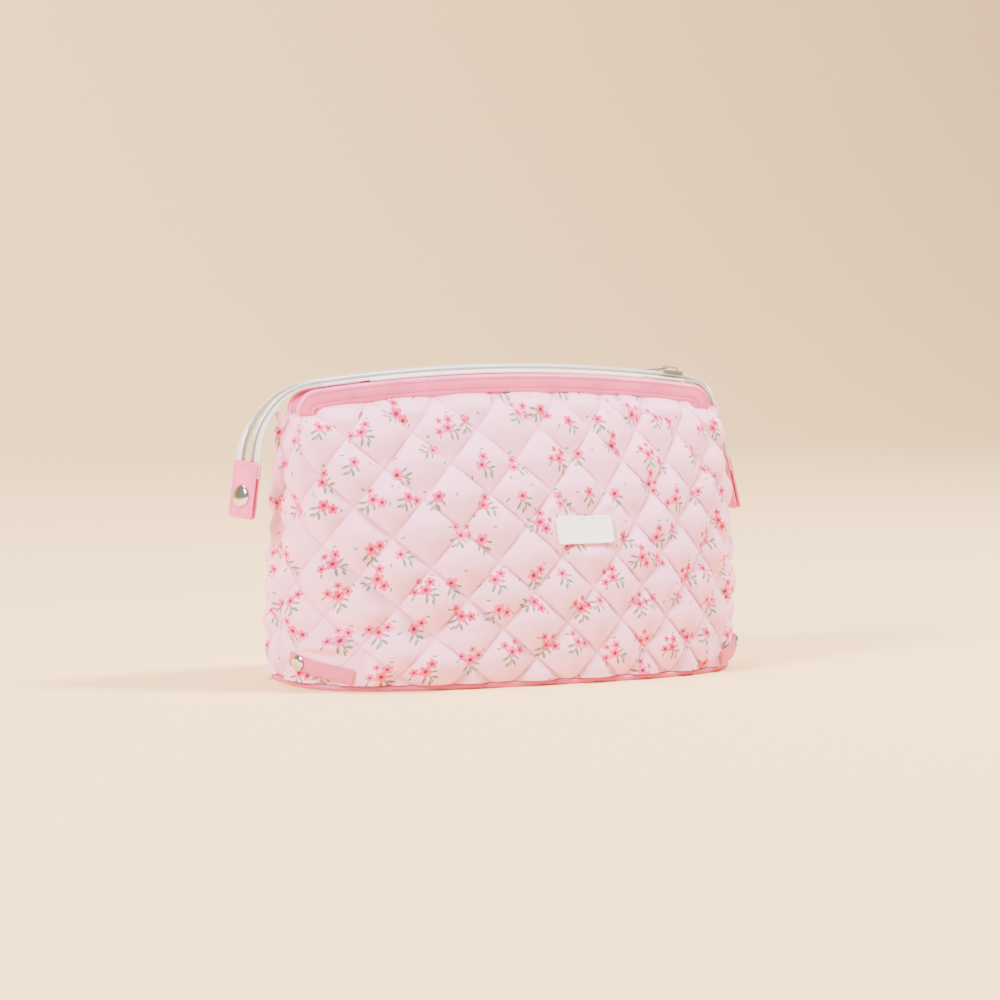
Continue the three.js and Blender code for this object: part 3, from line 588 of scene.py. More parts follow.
@dataclass(frozen=True)
class DitsyPrint:
    """Small bunches of flowers and leaves scattered over cloth. Sizes are in millimetres."""

    spacing: float = 21.0
    flowers: tuple[tuple[float, float, float, float], ...] = (
        (0.3, 0.4, 3.3, 0.0),
        (4.8, 1.9, 2.8, 0.3),
        (-4.0, 3.2, 2.4, 0.5),
        (1.4, 5.9, 1.9, 0.7),
    )
    leaves: tuple[tuple[float, float, float, float, float], ...] = (
        (-2.6, -3.6, -0.75, 2.4, 0.75),
        (0.4, -4.6, -1.5, 3.0, 0.45),
        (2.2, -5.0, -2.3, 2.1, 0.8),
        (-1.2, -6.6, -1.0, 1.7, 0.7),
        (3.6, -2.2, -2.6, 1.6, 0.6),
        (-7.0, 1.2, -0.4, 1.3, 0.5),
        (8.2, 4.0, -2.4, 1.2, 0.5),
    )

    def group(self) -> Group:
        """The print as a node group: masks over the cloth's own coordinates."""
        made = Group(
            "ditsy_print",
            {"Vector": ("Vector", (0, 0, 0))},
            {"Petal": "Float", "Heart": "Float", "Leaf": "Float", "Tint": "Float"},
        )
        g = made.graph
        flower, leaf = flower_group(), leaf_group()
        where = g.vector("SCALE", made.inputs["Vector"])
        where.node.inputs["Scale"].default_value = 1000 / self.spacing
        cell = g.node(
            "ShaderNodeTexVoronoi",
            {"Vector": where, "Scale": 1.0, "Randomness": 0.62},
            voronoi_dimensions="2D",
            feature="F1",
        )
        local = g.vector("SCALE", g.vector("SUBTRACT", where, cell.outputs["Position"]))
        local.node.inputs["Scale"].default_value = self.spacing
        pick, turn, tint = g.split(cell.outputs["Color"])
        bunch = g.node(
            "ShaderNodeVectorRotate",
            {"Vector": local, "Angle": g.math("MULTIPLY", g.math("SUBTRACT", turn, 0.5), 2.6)},
            rotation_type="Z_AXIS",
        ).outputs[0]
        petals, hearts, leaf_mask = [], [], []
        for x, y, radius, rarity in self.flowers:
            one = flower.use(g, {"Vector": bunch, "Centre": (x, y, 0), "Radius": radius})
            shown = g.math("GREATER_THAN", pick, rarity)
            petals.append(g.math("MULTIPLY", one.outputs["Petal"], shown))
            hearts.append(g.math("MULTIPLY", one.outputs["Heart"], shown))
        for x, y, angle, long, wide in self.leaves:
            shape = {"Centre": (x, y, 0), "Angle": angle, "Shape": (long, wide, 1)}
            one = leaf.use(g, {"Vector": bunch, **shape})
            leaf_mask.append(one.outputs["Leaf"])
        made.give(
            Petal=self.most(g, petals), Heart=self.most(g, hearts), Leaf=self.most(g, leaf_mask), Tint=tint
        )
        return made

    @staticmethod
    def most(g: Graph, masks: Sequence[Socket]) -> Socket:
        """The largest of several masks."""
        best = masks[0]
        for mask in masks[1:]:
            best = g.math("MAXIMUM", best, mask)
        return best


def weave_group() -> Group:
    """Crossing threads of a plain weave, as a height."""
    made = Group(
        "plain_weave", {"Vector": ("Vector", (0, 0, 0)), "Pitch": ("Float", 0.45 * MM)}, {"Height": "Float"}
    )
    g = made.graph
    x, y, _ = g.split(made.inputs["Vector"])
    per = g.math("DIVIDE", math.pi, made.inputs["Pitch"])
    warp = g.math("SINE", g.math("MULTIPLY", x, per))
    weft = g.math("SINE", g.math("MULTIPLY", y, per))
    made.give(Height=g.math("MULTIPLY_ADD", g.math("MULTIPLY", warp, weft), 0.5, 0.5))
    return made


def grain_group() -> Group:
    """Fine pebbled leatherette grain, as a height and a shade."""
    made = Group(
        "pebble_grain",
        {"Vector": ("Vector", (0, 0, 0)), "Scale": ("Float", 1400.0)},
        {"Height": "Float", "Shade": "Float"},
    )
    g = made.graph
    cells = g.node(
        "ShaderNodeTexVoronoi", {"Vector": made.inputs["Vector"], "Scale": made.inputs["Scale"]},
        feature="SMOOTH_F1",
    ).outputs["Distance"]
    made.give(Height=g.math("SUBTRACT", 1.0, cells), Shade=g.noise(made.inputs["Vector"], 60.0, 3.0))
    return made


def quilt_group() -> Group:
    """Diamond quilting stitches over the cloth's coordinates: a dashed thread, and a band of painted shade along
    the dip it lies in.
    """
    made = Group(
        "quilt_stitches",
        {"Vector": ("Vector", (0, 0, 0)), "Diagonal": ("Float", 36 * MM)},
        {"Thread": "Float", "Crease": "Float"},
    )
    g = made.graph
    x, y, _ = g.split(made.inputs["Vector"])
    threads, creases = [], []
    rising, falling = g.math("SUBTRACT", x, y), g.math("ADD", x, y)
    for one, other in ((rising, falling), (falling, rising)):
        line = g.math("DIVIDE", one, made.inputs["Diagonal"])
        away = g.math("ABSOLUTE", g.math("SUBTRACT", g.math("FRACT", line), 0.5))
        dash = g.math("ABSOLUTE", g.math("SUBTRACT", g.math("FRACT", g.math("MULTIPLY", other, 236.0)), 0.5))
        on_line = g.math("SUBTRACT", 1.0, g.ramp(away, 0.005, 0.014))
        threads.append(g.math("MULTIPLY", on_line, g.math("SUBTRACT", 1.0, g.ramp(dash, 0.3, 0.38))))
        # painted shade mask: a soft band on both sides of each quilting line, where the padding dips
        creases.append(g.math("SUBTRACT", 1.0, g.ramp(away, 0.0, 0.05)))
    made.give(Thread=g.math("MAXIMUM", *threads), Crease=g.math("MAXIMUM", *creases))
    return made


class Effects:
    """The node groups that the finishes share, each built once."""

    def __init__(self) -> None:
        """Builds every group."""
        self.print = DitsyPrint().group()
        self.weave = weave_group()
        self.grain = grain_group()
        self.quilt = quilt_group()


@dataclass(frozen=True)
class Finish:
    """A surface finish: what its own shader is given before any texture."""

    name: str
    color: tuple[int, int, int]
    roughness: float = 0.6
    metallic: float = 0.0
    sheen: float = 0.0
    coat: float = 0.0

    def shader(self) -> tuple[bpy.types.Material, Graph, bpy.types.Node]:
        """The material with its plain shader, and a graph to add texture with."""
        material = bpy.data.materials.new(self.name)
        material.use_nodes = True
        graph = Graph(material.node_tree)
        shader = material.node_tree.nodes["Principled BSDF"]
        shader.inputs["Base Color"].default_value = linear(*self.color)
        shader.inputs["Roughness"].default_value = self.roughness
        shader.inputs["Metallic"].default_value = self.metallic
        shader.inputs["Sheen Weight"].default_value = self.sheen
        shader.inputs["Sheen Roughness"].default_value = 0.4
        shader.inputs["Coat Weight"].default_value = self.coat
        shader.inputs["Coat Roughness"].default_value = 0.25
        return material, graph, shader


def coordinates(graph: Graph, cloth: bool) -> Socket:
    """The cloth's own flat coordinates, or the object's."""
    if cloth:
        return graph.node("ShaderNodeUVMap", uv_map="cloth").outputs[0]
    return graph.node("ShaderNodeTexCoord").outputs["Object"]


def bump(graph: Graph, shader: bpy.types.Node, height: Socket, depth: float, strength: float = 1.0) -> None:
    """Feeds a height to a shader's Normal, over any bump that is there already."""
    made = graph.node("ShaderNodeBump", {"Strength": strength, "Distance": depth, "Height": height})
    links = shader.inputs["Normal"].links
    if links:
        graph.tree.links.new(links[0].from_socket, made.inputs["Normal"])
    graph.tree.links.new(made.outputs[0], shader.inputs["Normal"])


def paint(graph: Graph, shader: bpy.types.Node, color: Socket) -> None:
    """Feeds a colour to a shader."""
    graph.tree.links.new(color, shader.inputs["Base Color"])


@dataclass(frozen=True)
class QuiltedPrint(Finish):
    """Pale cotton with a ditsy print, quilted in diamonds with pink thread, with painted shade in a deeper pink
    along the quilting lines.
    """

    petal: tuple[int, int, int] = (248, 84, 146)
    deep_petal: tuple[int, int, int] = (226, 36, 100)
    heart: tuple[int, int, int] = (130, 6, 44)
    leaf: tuple[int, int, int] = (104, 128, 104)
    thread: tuple[int, int, int] = (236, 160, 184)
    # deeper pink painted as shade along the quilting lines
    crease: tuple[int, int, int] = (226, 96, 140)
    diagonal: float = 36 * MM

    def make(self, effects: Effects) -> bpy.types.Material:
        """The finished material."""
        material, g, shader = self.shader()
        cloth = coordinates(g, True)
        motifs = effects.print.use(g, {"Vector": cloth})
        stitches = effects.quilt.use(g, {"Vector": cloth, "Diagonal": self.diagonal})
        fade = g.noise(cloth, 90.0)
        ground = g.node("ShaderNodeMix", data_type="RGBA")
        mix_inputs(ground, 0.5, linear(*self.color), linear(*(int(0.965 * c) for c in self.color)))
        g.tree.links.new(fade, ground.inputs[0])
        color = ground.outputs[2]
        petal = g.node("ShaderNodeMix", data_type="RGBA")
        mix_inputs(petal, 0.5, linear(*self.petal), linear(*self.deep_petal))
        g.tree.links.new(motifs.outputs["Tint"], petal.inputs[0])
        for mask, over in (
            # painted shade along the quilting lines, mixed in at 45 per cent
            (g.math("MULTIPLY", stitches.outputs["Crease"], 0.45), linear(*self.crease)),
            (motifs.outputs["Leaf"], linear(*self.leaf)),
            (motifs.outputs["Petal"], petal.outputs[2]),
            (motifs.outputs["Heart"], linear(*self.heart)),
            (stitches.outputs["Thread"], linear(*self.thread)),
        ):
            step = g.node("ShaderNodeMix", data_type="RGBA")
            g.tree.links.new(mask, step.inputs[0])
            g.tree.links.new(color, step.inputs[6])
            if isinstance(over, bpy.types.NodeSocket):
                g.tree.links.new(over, step.inputs[7])
            else:
                step.inputs[7].default_value = over
            color = step.outputs[2]
        paint(g, shader, color)
        weave = effects.weave.use(g, {"Vector": cloth})
        bump(g, shader, weave.outputs["Height"], 0.05 * MM, 0.35)
        bump(g, shader, stitches.outputs["Thread"], 0.25 * MM, 0.7)
        bump(g, shader, g.noise(cloth, 700.0, 3.0), 0.25 * MM, 0.5)
        return material


@dataclass(frozen=True)
class Leatherette(Finish):
    """Satin leatherette with a fine pebbled grain and slight shading."""

    shade: float = 0.9

    def make(self, effects: Effects) -> bpy.types.Material:
        """The finished material."""
        material, g, shader = self.shader()
        place = coordinates(g, False)
        grain = effects.grain.use(g, {"Vector": place})
        tone = g.node("ShaderNodeMix", data_type="RGBA")
        mix_inputs(tone, 0.5, linear(*self.color), linear(*(int(self.shade * c) for c in self.color)))
        g.tree.links.new(g.ramp(grain.outputs["Shade"], 0.35, 0.75), tone.inputs[0])
        paint(g, shader, tone.outputs[2])
        rough = g.math("MULTIPLY_ADD", grain.outputs["Shade"], 0.16, self.roughness - 0.08)
        g.tree.links.new(rough, shader.inputs["Roughness"])
        bump(g, shader, grain.outputs["Height"], 0.08 * MM, 0.4)
        return material


@dataclass(frozen=True)
class Woven(Finish):
    """Plain woven cloth or tape, with its threads in two shades."""

    pitch: float = 0.45 * MM
    relief: float = 0.12 * MM
    contrast: float = 0.8
    cloth: bool = True

    def make(self, effects: Effects) -> bpy.types.Material:
        """The finished material."""
        material, g, shader = self.shader()
        place = coordinates(g, self.cloth)
        weave = effects.weave.use(g, {"Vector": place, "Pitch": self.pitch})
        tone = g.node("ShaderNodeMix", data_type="RGBA")
        mix_inputs(tone, 0.5, linear(*(int(self.contrast * c) for c in self.color)), linear(*self.color))
        g.tree.links.new(weave.outputs["Height"], tone.inputs[0])
        paint(g, shader, tone.outputs[2])
        bump(g, shader, weave.outputs["Height"], self.relief, 0.7)
        bump(g, shader, g.noise(place, 300.0), 0.3 * MM, 0.4)
        return material


@dataclass(frozen=True)
class Smudged(Finish):
    """Metal, board, thread or rubber, with fine unevenness in its gloss."""

    scale: float = 250.0
    depth: float = 0.02 * MM

    def make(self, effects: Effects) -> bpy.types.Material:
        """The finished material."""
        material, g, shader = self.shader()
        uneven = g.noise(coordinates(g, False), self.scale, 4.0)
        rough = g.math("MULTIPLY_ADD", uneven, 0.18, max(self.roughness - 0.06, 0.03))
        g.tree.links.new(rough, shader.inputs["Roughness"])
        bump(g, shader, uneven, self.depth, 0.3)
        return material


class Wardrobe:
    """Every material of the bag, made once."""

    def __init__(self) -> None:
        """Makes the materials."""
        effects = Effects()
        finishes = {
            "quilt": QuiltedPrint("quilted_cotton", (255, 184, 216), 0.85, sheen=0.15),
            "band": Leatherette("pink_leatherette", (252, 108, 166), 0.42, coat=0.1),
            "base": Leatherette("base_leatherette", (222, 92, 132), 0.45),
            "inside": Woven("crimson_lining", (196, 34, 72), 0.8, sheen=0.1),
            "thread": Smudged("pink_thread", (206, 104, 134), 0.7, scale=2500.0, depth=0.1 * MM),
            "tape": Woven("zip_tape", (246, 236, 236), 0.8, pitch=0.6 * MM, relief=0.25 * MM),
            "coil": Smudged("silver_coil", (226, 226, 224), 0.28, metallic=0.7),
            "chrome": Smudged("chrome", (214, 214, 218), 0.08, metallic=1.0, depth=0.01 * MM),
            "steel": Smudged("spring_steel", (150, 152, 156), 0.3, metallic=1.0),
            "board": Smudged("base_board", (184, 164, 140), 0.9, depth=0.2 * MM),
            "label": Smudged("label_rubber", (250, 248, 248), 0.45),
        }
        self.made = {key: finish.make(effects) for key, finish in finishes.items()}

    def __getitem__(self, key: str) -> bpy.types.Material:
        """One material by its short name."""
        return self.made[key]


# ---------------------------------------------------------------- quilted walls


@dataclass
class QuiltedWall:
    """The front or back of the bag: quilted, padded fabric from the base to the band."""

    side: Side
    columns: int = 270
    rows: int = 140
    thickness: float = 4.5 * MM
    low: float = 3.3 * MM
    seam_depth: float = 2.6 * MM
    puff: float = 6.4 * MM
    diagonal: float = 36 * MM
    label_box: tuple[float, float, float, float] = (6.5 * MM, 43.5 * MM, 76 * MM, 94 * MM)
    wrinkles: tuple[tuple[float, float, float, float], ...] = (
        (42, 30, 0.0, 1.3),
        (9, 9, 7.0, 0.55),
        (3.2, 4.5, 3.0, 0.24),
    )
    deepest: float = -3.1 * MM
    sag_roll: tuple[float, float, float] = (6.0 * MM, 17 * MM, 9 * MM)
    sag_fold: tuple[float, float, float] = (-2.2 * MM, 32 * MM, 5 * MM)
    roll: float = 11 * MM
    edge_half: float = 1.3 * MM
    band_hold: float = 6 * MM
    frame_offset: float = 2.4 * MM
    frame_lean: float = math.radians(8.63)
    band_bottom: float = 162.6 * MM
    corner_bottom: float = 151.0 * MM
    corner_start: float = 112.5 * MM
    corner_end: float = 119.5 * MM

    def top(self, x: np.ndarray) -> np.ndarray:
        """Height of the fabric's top edge, which drops at the mouth's two corners."""
        under_band = self.band_bottom - (BODY.coil_top - BODY.arch(x))
        share = smooth(np.abs(x), self.corner_start, self.corner_end)
        return under_band + (np.minimum(self.corner_bottom, under_band) - under_band) * share

    def spread(self, s: np.ndarray, t: np.ndarray) -> tuple[np.ndarray, np.ndarray]:
        """Distance along the cloth and height, for shares across and up."""
        half = BODY.cloth_shares()[0][-1]
        along = (2 * s - 1) * (half - GAP / 2)
        shares = np.interp(along, *BODY.cloth_shares()[:2])
        return along, self.low + (self.top(shares * BODY.shoulder_half_length) - self.low) * t

    def flat(self, s: np.ndarray, t: np.ndarray) -> np.ndarray:
        """The cloth's own coordinates, in metres: half a diamond is half a diagonal of them."""
        column, row = self.lattice(*self.spread(s, t))
        return np.stack([column, -row], axis=1) * self.diagonal / 2

    def lattice(self, along: np.ndarray, height: np.ndarray) -> tuple[np.ndarray, np.ndarray]:
        """Quilting coordinates in half diamonds: columns across and rows down.

        Args:
            along: distance along the cloth from the middle of the wall.
            height: height of each point.

        Returns:
            The column and the row of each point.
        """
        x, up = along / (100 * MM), BODY.slope(height) / (100 * MM)
        return WARP.column(x, up), WARP.row(x, up)

    def loft(self, along: np.ndarray, height: np.ndarray) -> np.ndarray:
        """How far the padding stands off its seam lines at each point."""
        column, row = self.lattice(along, height)
        across, up = column * self.diagonal / 2, row * self.diagonal / 2
        rises = []
        for line in ((across + up) / self.diagonal, (across - up) / self.diagonal):
            away = np.abs(line - np.floor(line) - 0.5) * 2
            rises.append(np.sin(away * math.pi / 2) ** 0.7)
        pillow = rises[0] * rises[1]
        cells = np.floor((across + up) / self.diagonal + 0.5) * 12.9898
        cells = cells + np.floor((across - up) / self.diagonal + 0.5) * 78.233
        varied = 0.88 + 0.24 * np.modf(np.abs(np.sin(cells) * 43758.5453))[0]
        return pillow * varied

    def outward(self, along: np.ndarray, height: np.ndarray) -> np.ndarray:
        """How far the outer face stands outside the CAD wall's face."""
        half = BODY.cloth_shares()[0][-1]
        rise = -self.seam_depth + self.puff * self.loft(along, height)
        points = np.stack([along, BODY.slope(height), np.zeros_like(along)], axis=1) * 1000
        seed = 40.0 * self.side.value
        creases = np.array([
            sum(
                noise.noise(Vector((p[0] / wide + seed, p[1] / tall, layer))) * depth
                for wide, tall, layer, depth in self.wrinkles
            )
            for p in points
        ])
        rise = rise + creases * MM
        rise = rise - 2.2 * MM * (1 - smooth(half - np.abs(along), 0.0, 5 * MM))
        rise = rise - 1.2 * MM * (1 - smooth(height, self.low, self.low + 5 * MM))
        return np.maximum(rise + self.sag(along, height), self.deepest)

    def sag(self, along: np.ndarray, height: np.ndarray) -> np.ndarray:
        """The slack roll of fabric that hangs over the base at one front corner."""
        if self.side is Side.BACK:
            return np.zeros_like(along)
        reach = (1 - smooth(along, -90 * MM, -20 * MM)) * smooth(along, -155 * MM, -120 * MM)
        roll, fold = (
            depth * np.exp(-(((height - middle) / width) ** 2))
            for depth, middle, width in (self.sag_roll, self.sag_fold)
        )
        return reach * (roll + fold)

    def press(self, along: np.ndarray, height: np.ndarray, rise: np.ndarray) -> np.ndarray:
        """Flattens the padding under the sewn label and the corner straps."""
        if self.side is Side.FRONT:
            low_x, high_x, low_z, high_z = self.label_box
            edge = 5 * MM
            inside = smooth(along, low_x - edge, low_x) * (1 - smooth(along, high_x, high_x + edge))
            inside = inside * smooth(height, low_z - edge, low_z)
            inside = inside * (1 - smooth(height, high_z, high_z + edge))
            rise = rise + (np.minimum(rise, 0.2 * MM) - rise) * inside
            strap = (1 - smooth(height, 20 * MM, 25 * MM)) * smooth(np.abs(along), 98 * MM, 106 * MM)
            rise = rise + (np.minimum(rise, 0.6 * MM) - rise) * strap
        return rise

    def place(self, s: np.ndarray, t: np.ndarray) -> np.ndarray:
        """Points of the outer face."""
        along, height = self.spread(s, t)
        rise = self.press(along, height, self.outward(along, height))
        step = 0.4 * MM
        here = BODY.front(along, height)
        right = BODY.front(along + step, height) - BODY.front(along - step, height)
        up = BODY.front(along, height + step) - BODY.front(along, height - step)
        normal = np.cross(right, up)
        normal = normal / np.maximum(np.linalg.norm(normal, axis=1, keepdims=True), 1e-12)
        points = here + normal * rise[:, None]
        points[:, 2] = np.clip(points[:, 2], self.low, height + 1.0 * MM)
        return self.tuck(points, height, self.edge_half)

    def tuck(self, points: np.ndarray, height: np.ndarray, stand: float) -> np.ndarray:
        """Rolls the top edge in, so that it enters the band between its two plies.

        Args:
            points: the face's points before the roll.
            height: height of each point on the plain wall.
            stand: how far outside the frame's plane the face ends.

        Returns:
            The rolled points.
        """
        below = self.top(points[:, 0]) - height
        share = 1 - smooth(below, 0.0, self.roll)
        share = share**1.5
        plane = -self.frame_offset - (points[:, 2] - BODY.hinge_height) * math.tan(self.frame_lean) - stand
        points[:, 1] += (np.maximum(plane, points[:, 1]) - points[:, 1]) * share
        points[:, 2] += (height - points[:, 2]) * share
        points[:, 1] = np.minimum(points[:, 1], -GAP / 2)
        return points

    def build(self, wardrobe: Wardrobe) -> bpy.types.Object:
        """Makes the wall."""
        bm = surface(self.columns, self.rows, self.place, self.flat)
        count = self.columns + 1
        order = np.arange(len(bm.verts))
        alongs, heights = self.spread(order % count / self.columns, order // count / self.rows)
        inner = BODY.front(alongs, heights, self.thickness - 0.5 * MM)
        shell(bm, self.tuck(inner, heights, -self.edge_half), inner_slot=1)
        word = self.side.word
        made = piece(
            f"{word}_quilted_wall", bm, [wardrobe["quilt"], wardrobe["inside"]], sharp=75, turn=self.side.value
        )
        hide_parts(f"{word}_panel", f"{word}_panel_top", f"{word}_lining")
        low, high = (0, 0, BODY.flex_height), (0, 0, BODY.shoulder - self.band_hold)
        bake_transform(made)
        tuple(low)
        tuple(high)
        return made


# ---------------------------------------------------------------- mouth frames


@dataclass
class MouthFrame:
    """One side of the mouth: the folded band with its stitches."""

    side: Side
    wire: float = 2.6 * MM
    ply: float = 1.0 * MM
    height: float = 10 * MM
    half_length: float = 125.5 * MM
    corner: float = 10 * MM
    end_offset: float = 2.4 * MM
    wire_drop: float = 8.2 * MM
    band_drop: float = 5.6 * MM
    inner_offset: float = 7.3 * MM
    leg_cover: float = 1.0 * MM
    stitch_pitch: float = 3.1 * MM
    stitch_rows: tuple[float, float] = (2.2 * MM, 7.4 * MM)

    @property
    def outer(self) -> float:
        """From the wire's middle to the band's outer face."""
        return self.wire / 2 + GAP + self.ply

    @property
    def lean(self) -> float:
        """The frame's lean from upright."""
        offset = self.inner_offset + self.outer - self.end_offset
        return math.atan2(offset, BODY.coil_top - self.band_drop - BODY.hinge_height)

    def rail(self) -> Rail:
        """The wire's path from one leg to the other, with across up the band and up to its outer face."""
        lean, radius = self.lean, BODY.arch_radius
        corner_x = self.half_length - self.corner
        join_x = corner_x / (1 - self.corner / radius)
        sweep = math.pi / 2 - math.asin(join_x / radius)
        wire_top = (BODY.coil_top - self.wire_drop - BODY.hinge_height) / math.cos(lean)
        corner_rise = wire_top - (BODY.coil_top - BODY.arch(join_x)) - self.corner * math.sin(sweep)
        half = [(self.half_length, corner_rise - self.leg_cover, 0.0)]
        for angle in np.linspace(0, sweep, 14):
            x = corner_x + self.corner * math.cos(angle)
            half.append((x, corner_rise + self.corner * math.sin(angle), angle))
        for x in join_x * (1 - np.linspace(0, 1, 41)[1:]):
            rise = wire_top - (BODY.coil_top - BODY.arch(x))
            half.append((x, rise, math.pi / 2 - math.asin(x / radius)))
        left = [(-x, rise, math.pi - angle) for x, rise, angle in half]
        whole = np.array(left + half[-2::-1])
        x, rise, angle = whole[:, 0], whole[:, 1], whole[:, 2]
        y = -self.end_offset - rise * math.sin(lean)
        origins = np.stack([x, y, BODY.hinge_height + rise * math.cos(lean)], 1)
        across = np.stack([np.cos(angle), -np.sin(angle) * math.sin(lean), np.sin(angle) * math.cos(lean)], 1)
        up = np.tile([0.0, -math.cos(lean), -math.sin(lean)], (len(x), 1))
        return Rail(origins, across, up)

    def section(self) -> list[tuple[float, float]]:
        """The folded band's section: p up the band and q outwards."""
        top, low, slot = self.outer, self.outer - self.height, self.wire / 2 + GAP
        first, second = (top - row for row in self.stitch_rows)
        face = [
            (low, top - 0.5 * MM), (low + 0.35 * MM, top - 0.05 * MM), (second - 1.1 * MM, top + 0.1 * MM),
            (second - 0.4 * MM, top - 0.05 * MM), (second, top - 0.3 * MM), (second + 0.4 * MM, top - 0.05 * MM),
            (second + 1.2 * MM, top + 0.15 * MM), ((first + second) / 2, top + 0.25 * MM),
            (first - 1.1 * MM, top + 0.15 * MM), (first - 0.4 * MM, top - 0.05 * MM),
            (first, top - 0.35 * MM), (first + 0.4 * MM, top - 0.15 * MM), (top - 0.9 * MM, top - 0.3 * MM),
            (top - 0.3 * MM, top - 0.9 * MM), (top, top - 1.7 * MM),
        ]
        back = [(p, -q) for p, q in reversed(face)]
        return [*face, *back, (low, -slot), (slot, -slot), (slot, slot), (low, slot)]

    def build(self, wardrobe: Wardrobe) -> None:
        """Makes the band and its stitches and ties them to the frame."""
        rail, word = self.rail(), self.side.word
        turn = self.side.value
        sleeve = swept(rail, self.section(), 150)
        band = piece(f"{word}_mouth_band", sleeve, [wardrobe["band"]], 50, turn)
        unit = thread_unit()
        seats = []
        for row in self.stitch_rows:
            seats += rail.seats(self.stitch_pitch, self.outer - row, self.outer - 0.15 * MM)
        thread = piece(f"{word}_band_stitches", scatter(unit, seats), [wardrobe["thread"]], turn=turn)
        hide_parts(f"{word}_band")
        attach(band, f"{word}_frame")
        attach(thread, f"{word}_frame")


# ---------------------------------------------------------------- zip


@dataclass
class Zip:
    """The zip's sizes, its coil rings and its tapes, for any rail along it."""

    coil_width: float = 2.8 * MM
    coil_height: float = 2.6 * MM
    parting: float = 5.0 * MM
    tape: float = 0.7 * MM
    wire: float = 0.62 * MM
    pitch: float = 1.2 * MM
    inner_reach: float = 85 * MM
    fixed_reach: float = 97 * MM
    end_reach: float = 113 * MM

    def ring(self) -> bpy.types.Mesh:
        """One turn of the coil, in the plane across X."""
        bm = bmesh.new()
        made = bmesh.ops.create_circle(bm, segments=5, radius=self.wire / 2)
        bmesh.ops.rotate(bm, cent=(0, 0, 0), matrix=Matrix.Rotation(math.pi / 2, 3, "X"), verts=made["verts"])
        bmesh.ops.translate(bm, vec=(self.coil_width / 2 - self.wire / 2, 0, 0), verts=made["verts"])
        bmesh.ops.spin(
            bm, geom=list(bm.verts) + list(bm.edges), cent=(0, 0, 0), axis=(0, 0, 1),
            angle=2 * math.pi, steps=12, use_merge=True,
        )
        bmesh.ops.remove_doubles(bm, verts=bm.verts, dist=1e-7)
        bmesh.ops.rotate(bm, cent=(0, 0, 0), matrix=Matrix.Rotation(math.pi / 2, 3, "Y"), verts=bm.verts)
        bmesh.ops.scale(bm, vec=(1, 1, self.coil_height / self.coil_width), verts=bm.verts)
        bmesh.ops.recalc_face_normals(bm, faces=bm.faces)
        return mesh_of(bm, "coil_ring")

    @staticmethod
    def arch_rail(start: float, stop: float) -> Rail:
        """The rail along the mouth's arch, between two places on X."""
        x = np.linspace(start, stop, 60)
        tilt = np.arcsin(x / BODY.arch_radius)
        zero = np.zeros_like(x)
        return Rail(
            np.stack([x, zero, BODY.arch(x)], 1),
            np.stack([zero, zero + 1, zero], 1),
            np.stack([np.sin(tilt), zero, np.cos(tilt)], 1),
        )

    def coil(self, rail: Rail, near: float) -> bmesh.types.BMesh:
        """A row of rings beside a rail. near is -1 for the front row and 1 for the back one."""
        middle = near * (self.parting + self.coil_width) / 2
        bm = scatter(self.ring(), rail.seats(self.pitch, middle, -self.coil_height / 2, tilt=near * 0.32))
        core = [
            (middle + 0.75 * MM * math.cos(a), -self.coil_height / 2 + 0.75 * MM * math.sin(a))
            for a in np.linspace(0, 2 * math.pi, 9)[:-1]
        ]
        cord = mesh_of(swept(rail, core, 60), "coil_core")
        bm.from_mesh(cord)
        bpy.data.meshes.remove(cord)
        return bm

    def tape_section(self, near: float, width: float, drop: float) -> list[tuple[float, float]]:
        """The tape's section under its coil: it falls by drop towards its outer edge."""
        top = -self.coil_height - GAP
        inner = self.parting / 2 + GAP
        knee = inner + self.coil_width
        fold, edge = (inner + width * 0.75, top - drop * 0.6), (inner + width, top - drop)
        upper = [(inner, top), (knee, top), fold, edge]
        lower = [(p, q - self.tape) for p, q in reversed(upper)]
        return [(near * p, q) for p, q in upper + lower]

    def build_mouth(self, side: Side, wardrobe: Wardrobe) -> None:
        """Makes one side's coil and tape: the part on the frame, and the ends that reach to the bag."""
        word = side.word
        reaches = {"mouth": (-self.inner_reach, self.inner_reach), "right": (self.inner_reach, self.end_reach),
                   "left": (-self.end_reach, -self.inner_reach)}
        for place, (start, stop) in reaches.items():
            rail = self.arch_rail(start, stop)
            near = -1 if side is Side.FRONT else 1
            coil = piece(f"{word}_{place}_coil", self.coil(rail, near), [wardrobe["coil"]])
            wide, drop = (6.2 * MM, 1.5 * MM) if place == "mouth" else (4.2 * MM, 0.85 * MM)
            strip = swept(rail, self.tape_section(near, wide, drop), 60)
            tape = piece(f"{word}_{place}_tape", strip, [wardrobe["tape"]], 50)
            for made in (coil, tape):
                if place == "mouth":
                    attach(made, f"{word}_frame")
                else:
                    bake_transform(made)
            if place == "mouth":
                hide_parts(f"{word}_coil")
                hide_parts(f"{word}_tape")
            else:
                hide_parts(f"{place}_end_{word}_stringer")


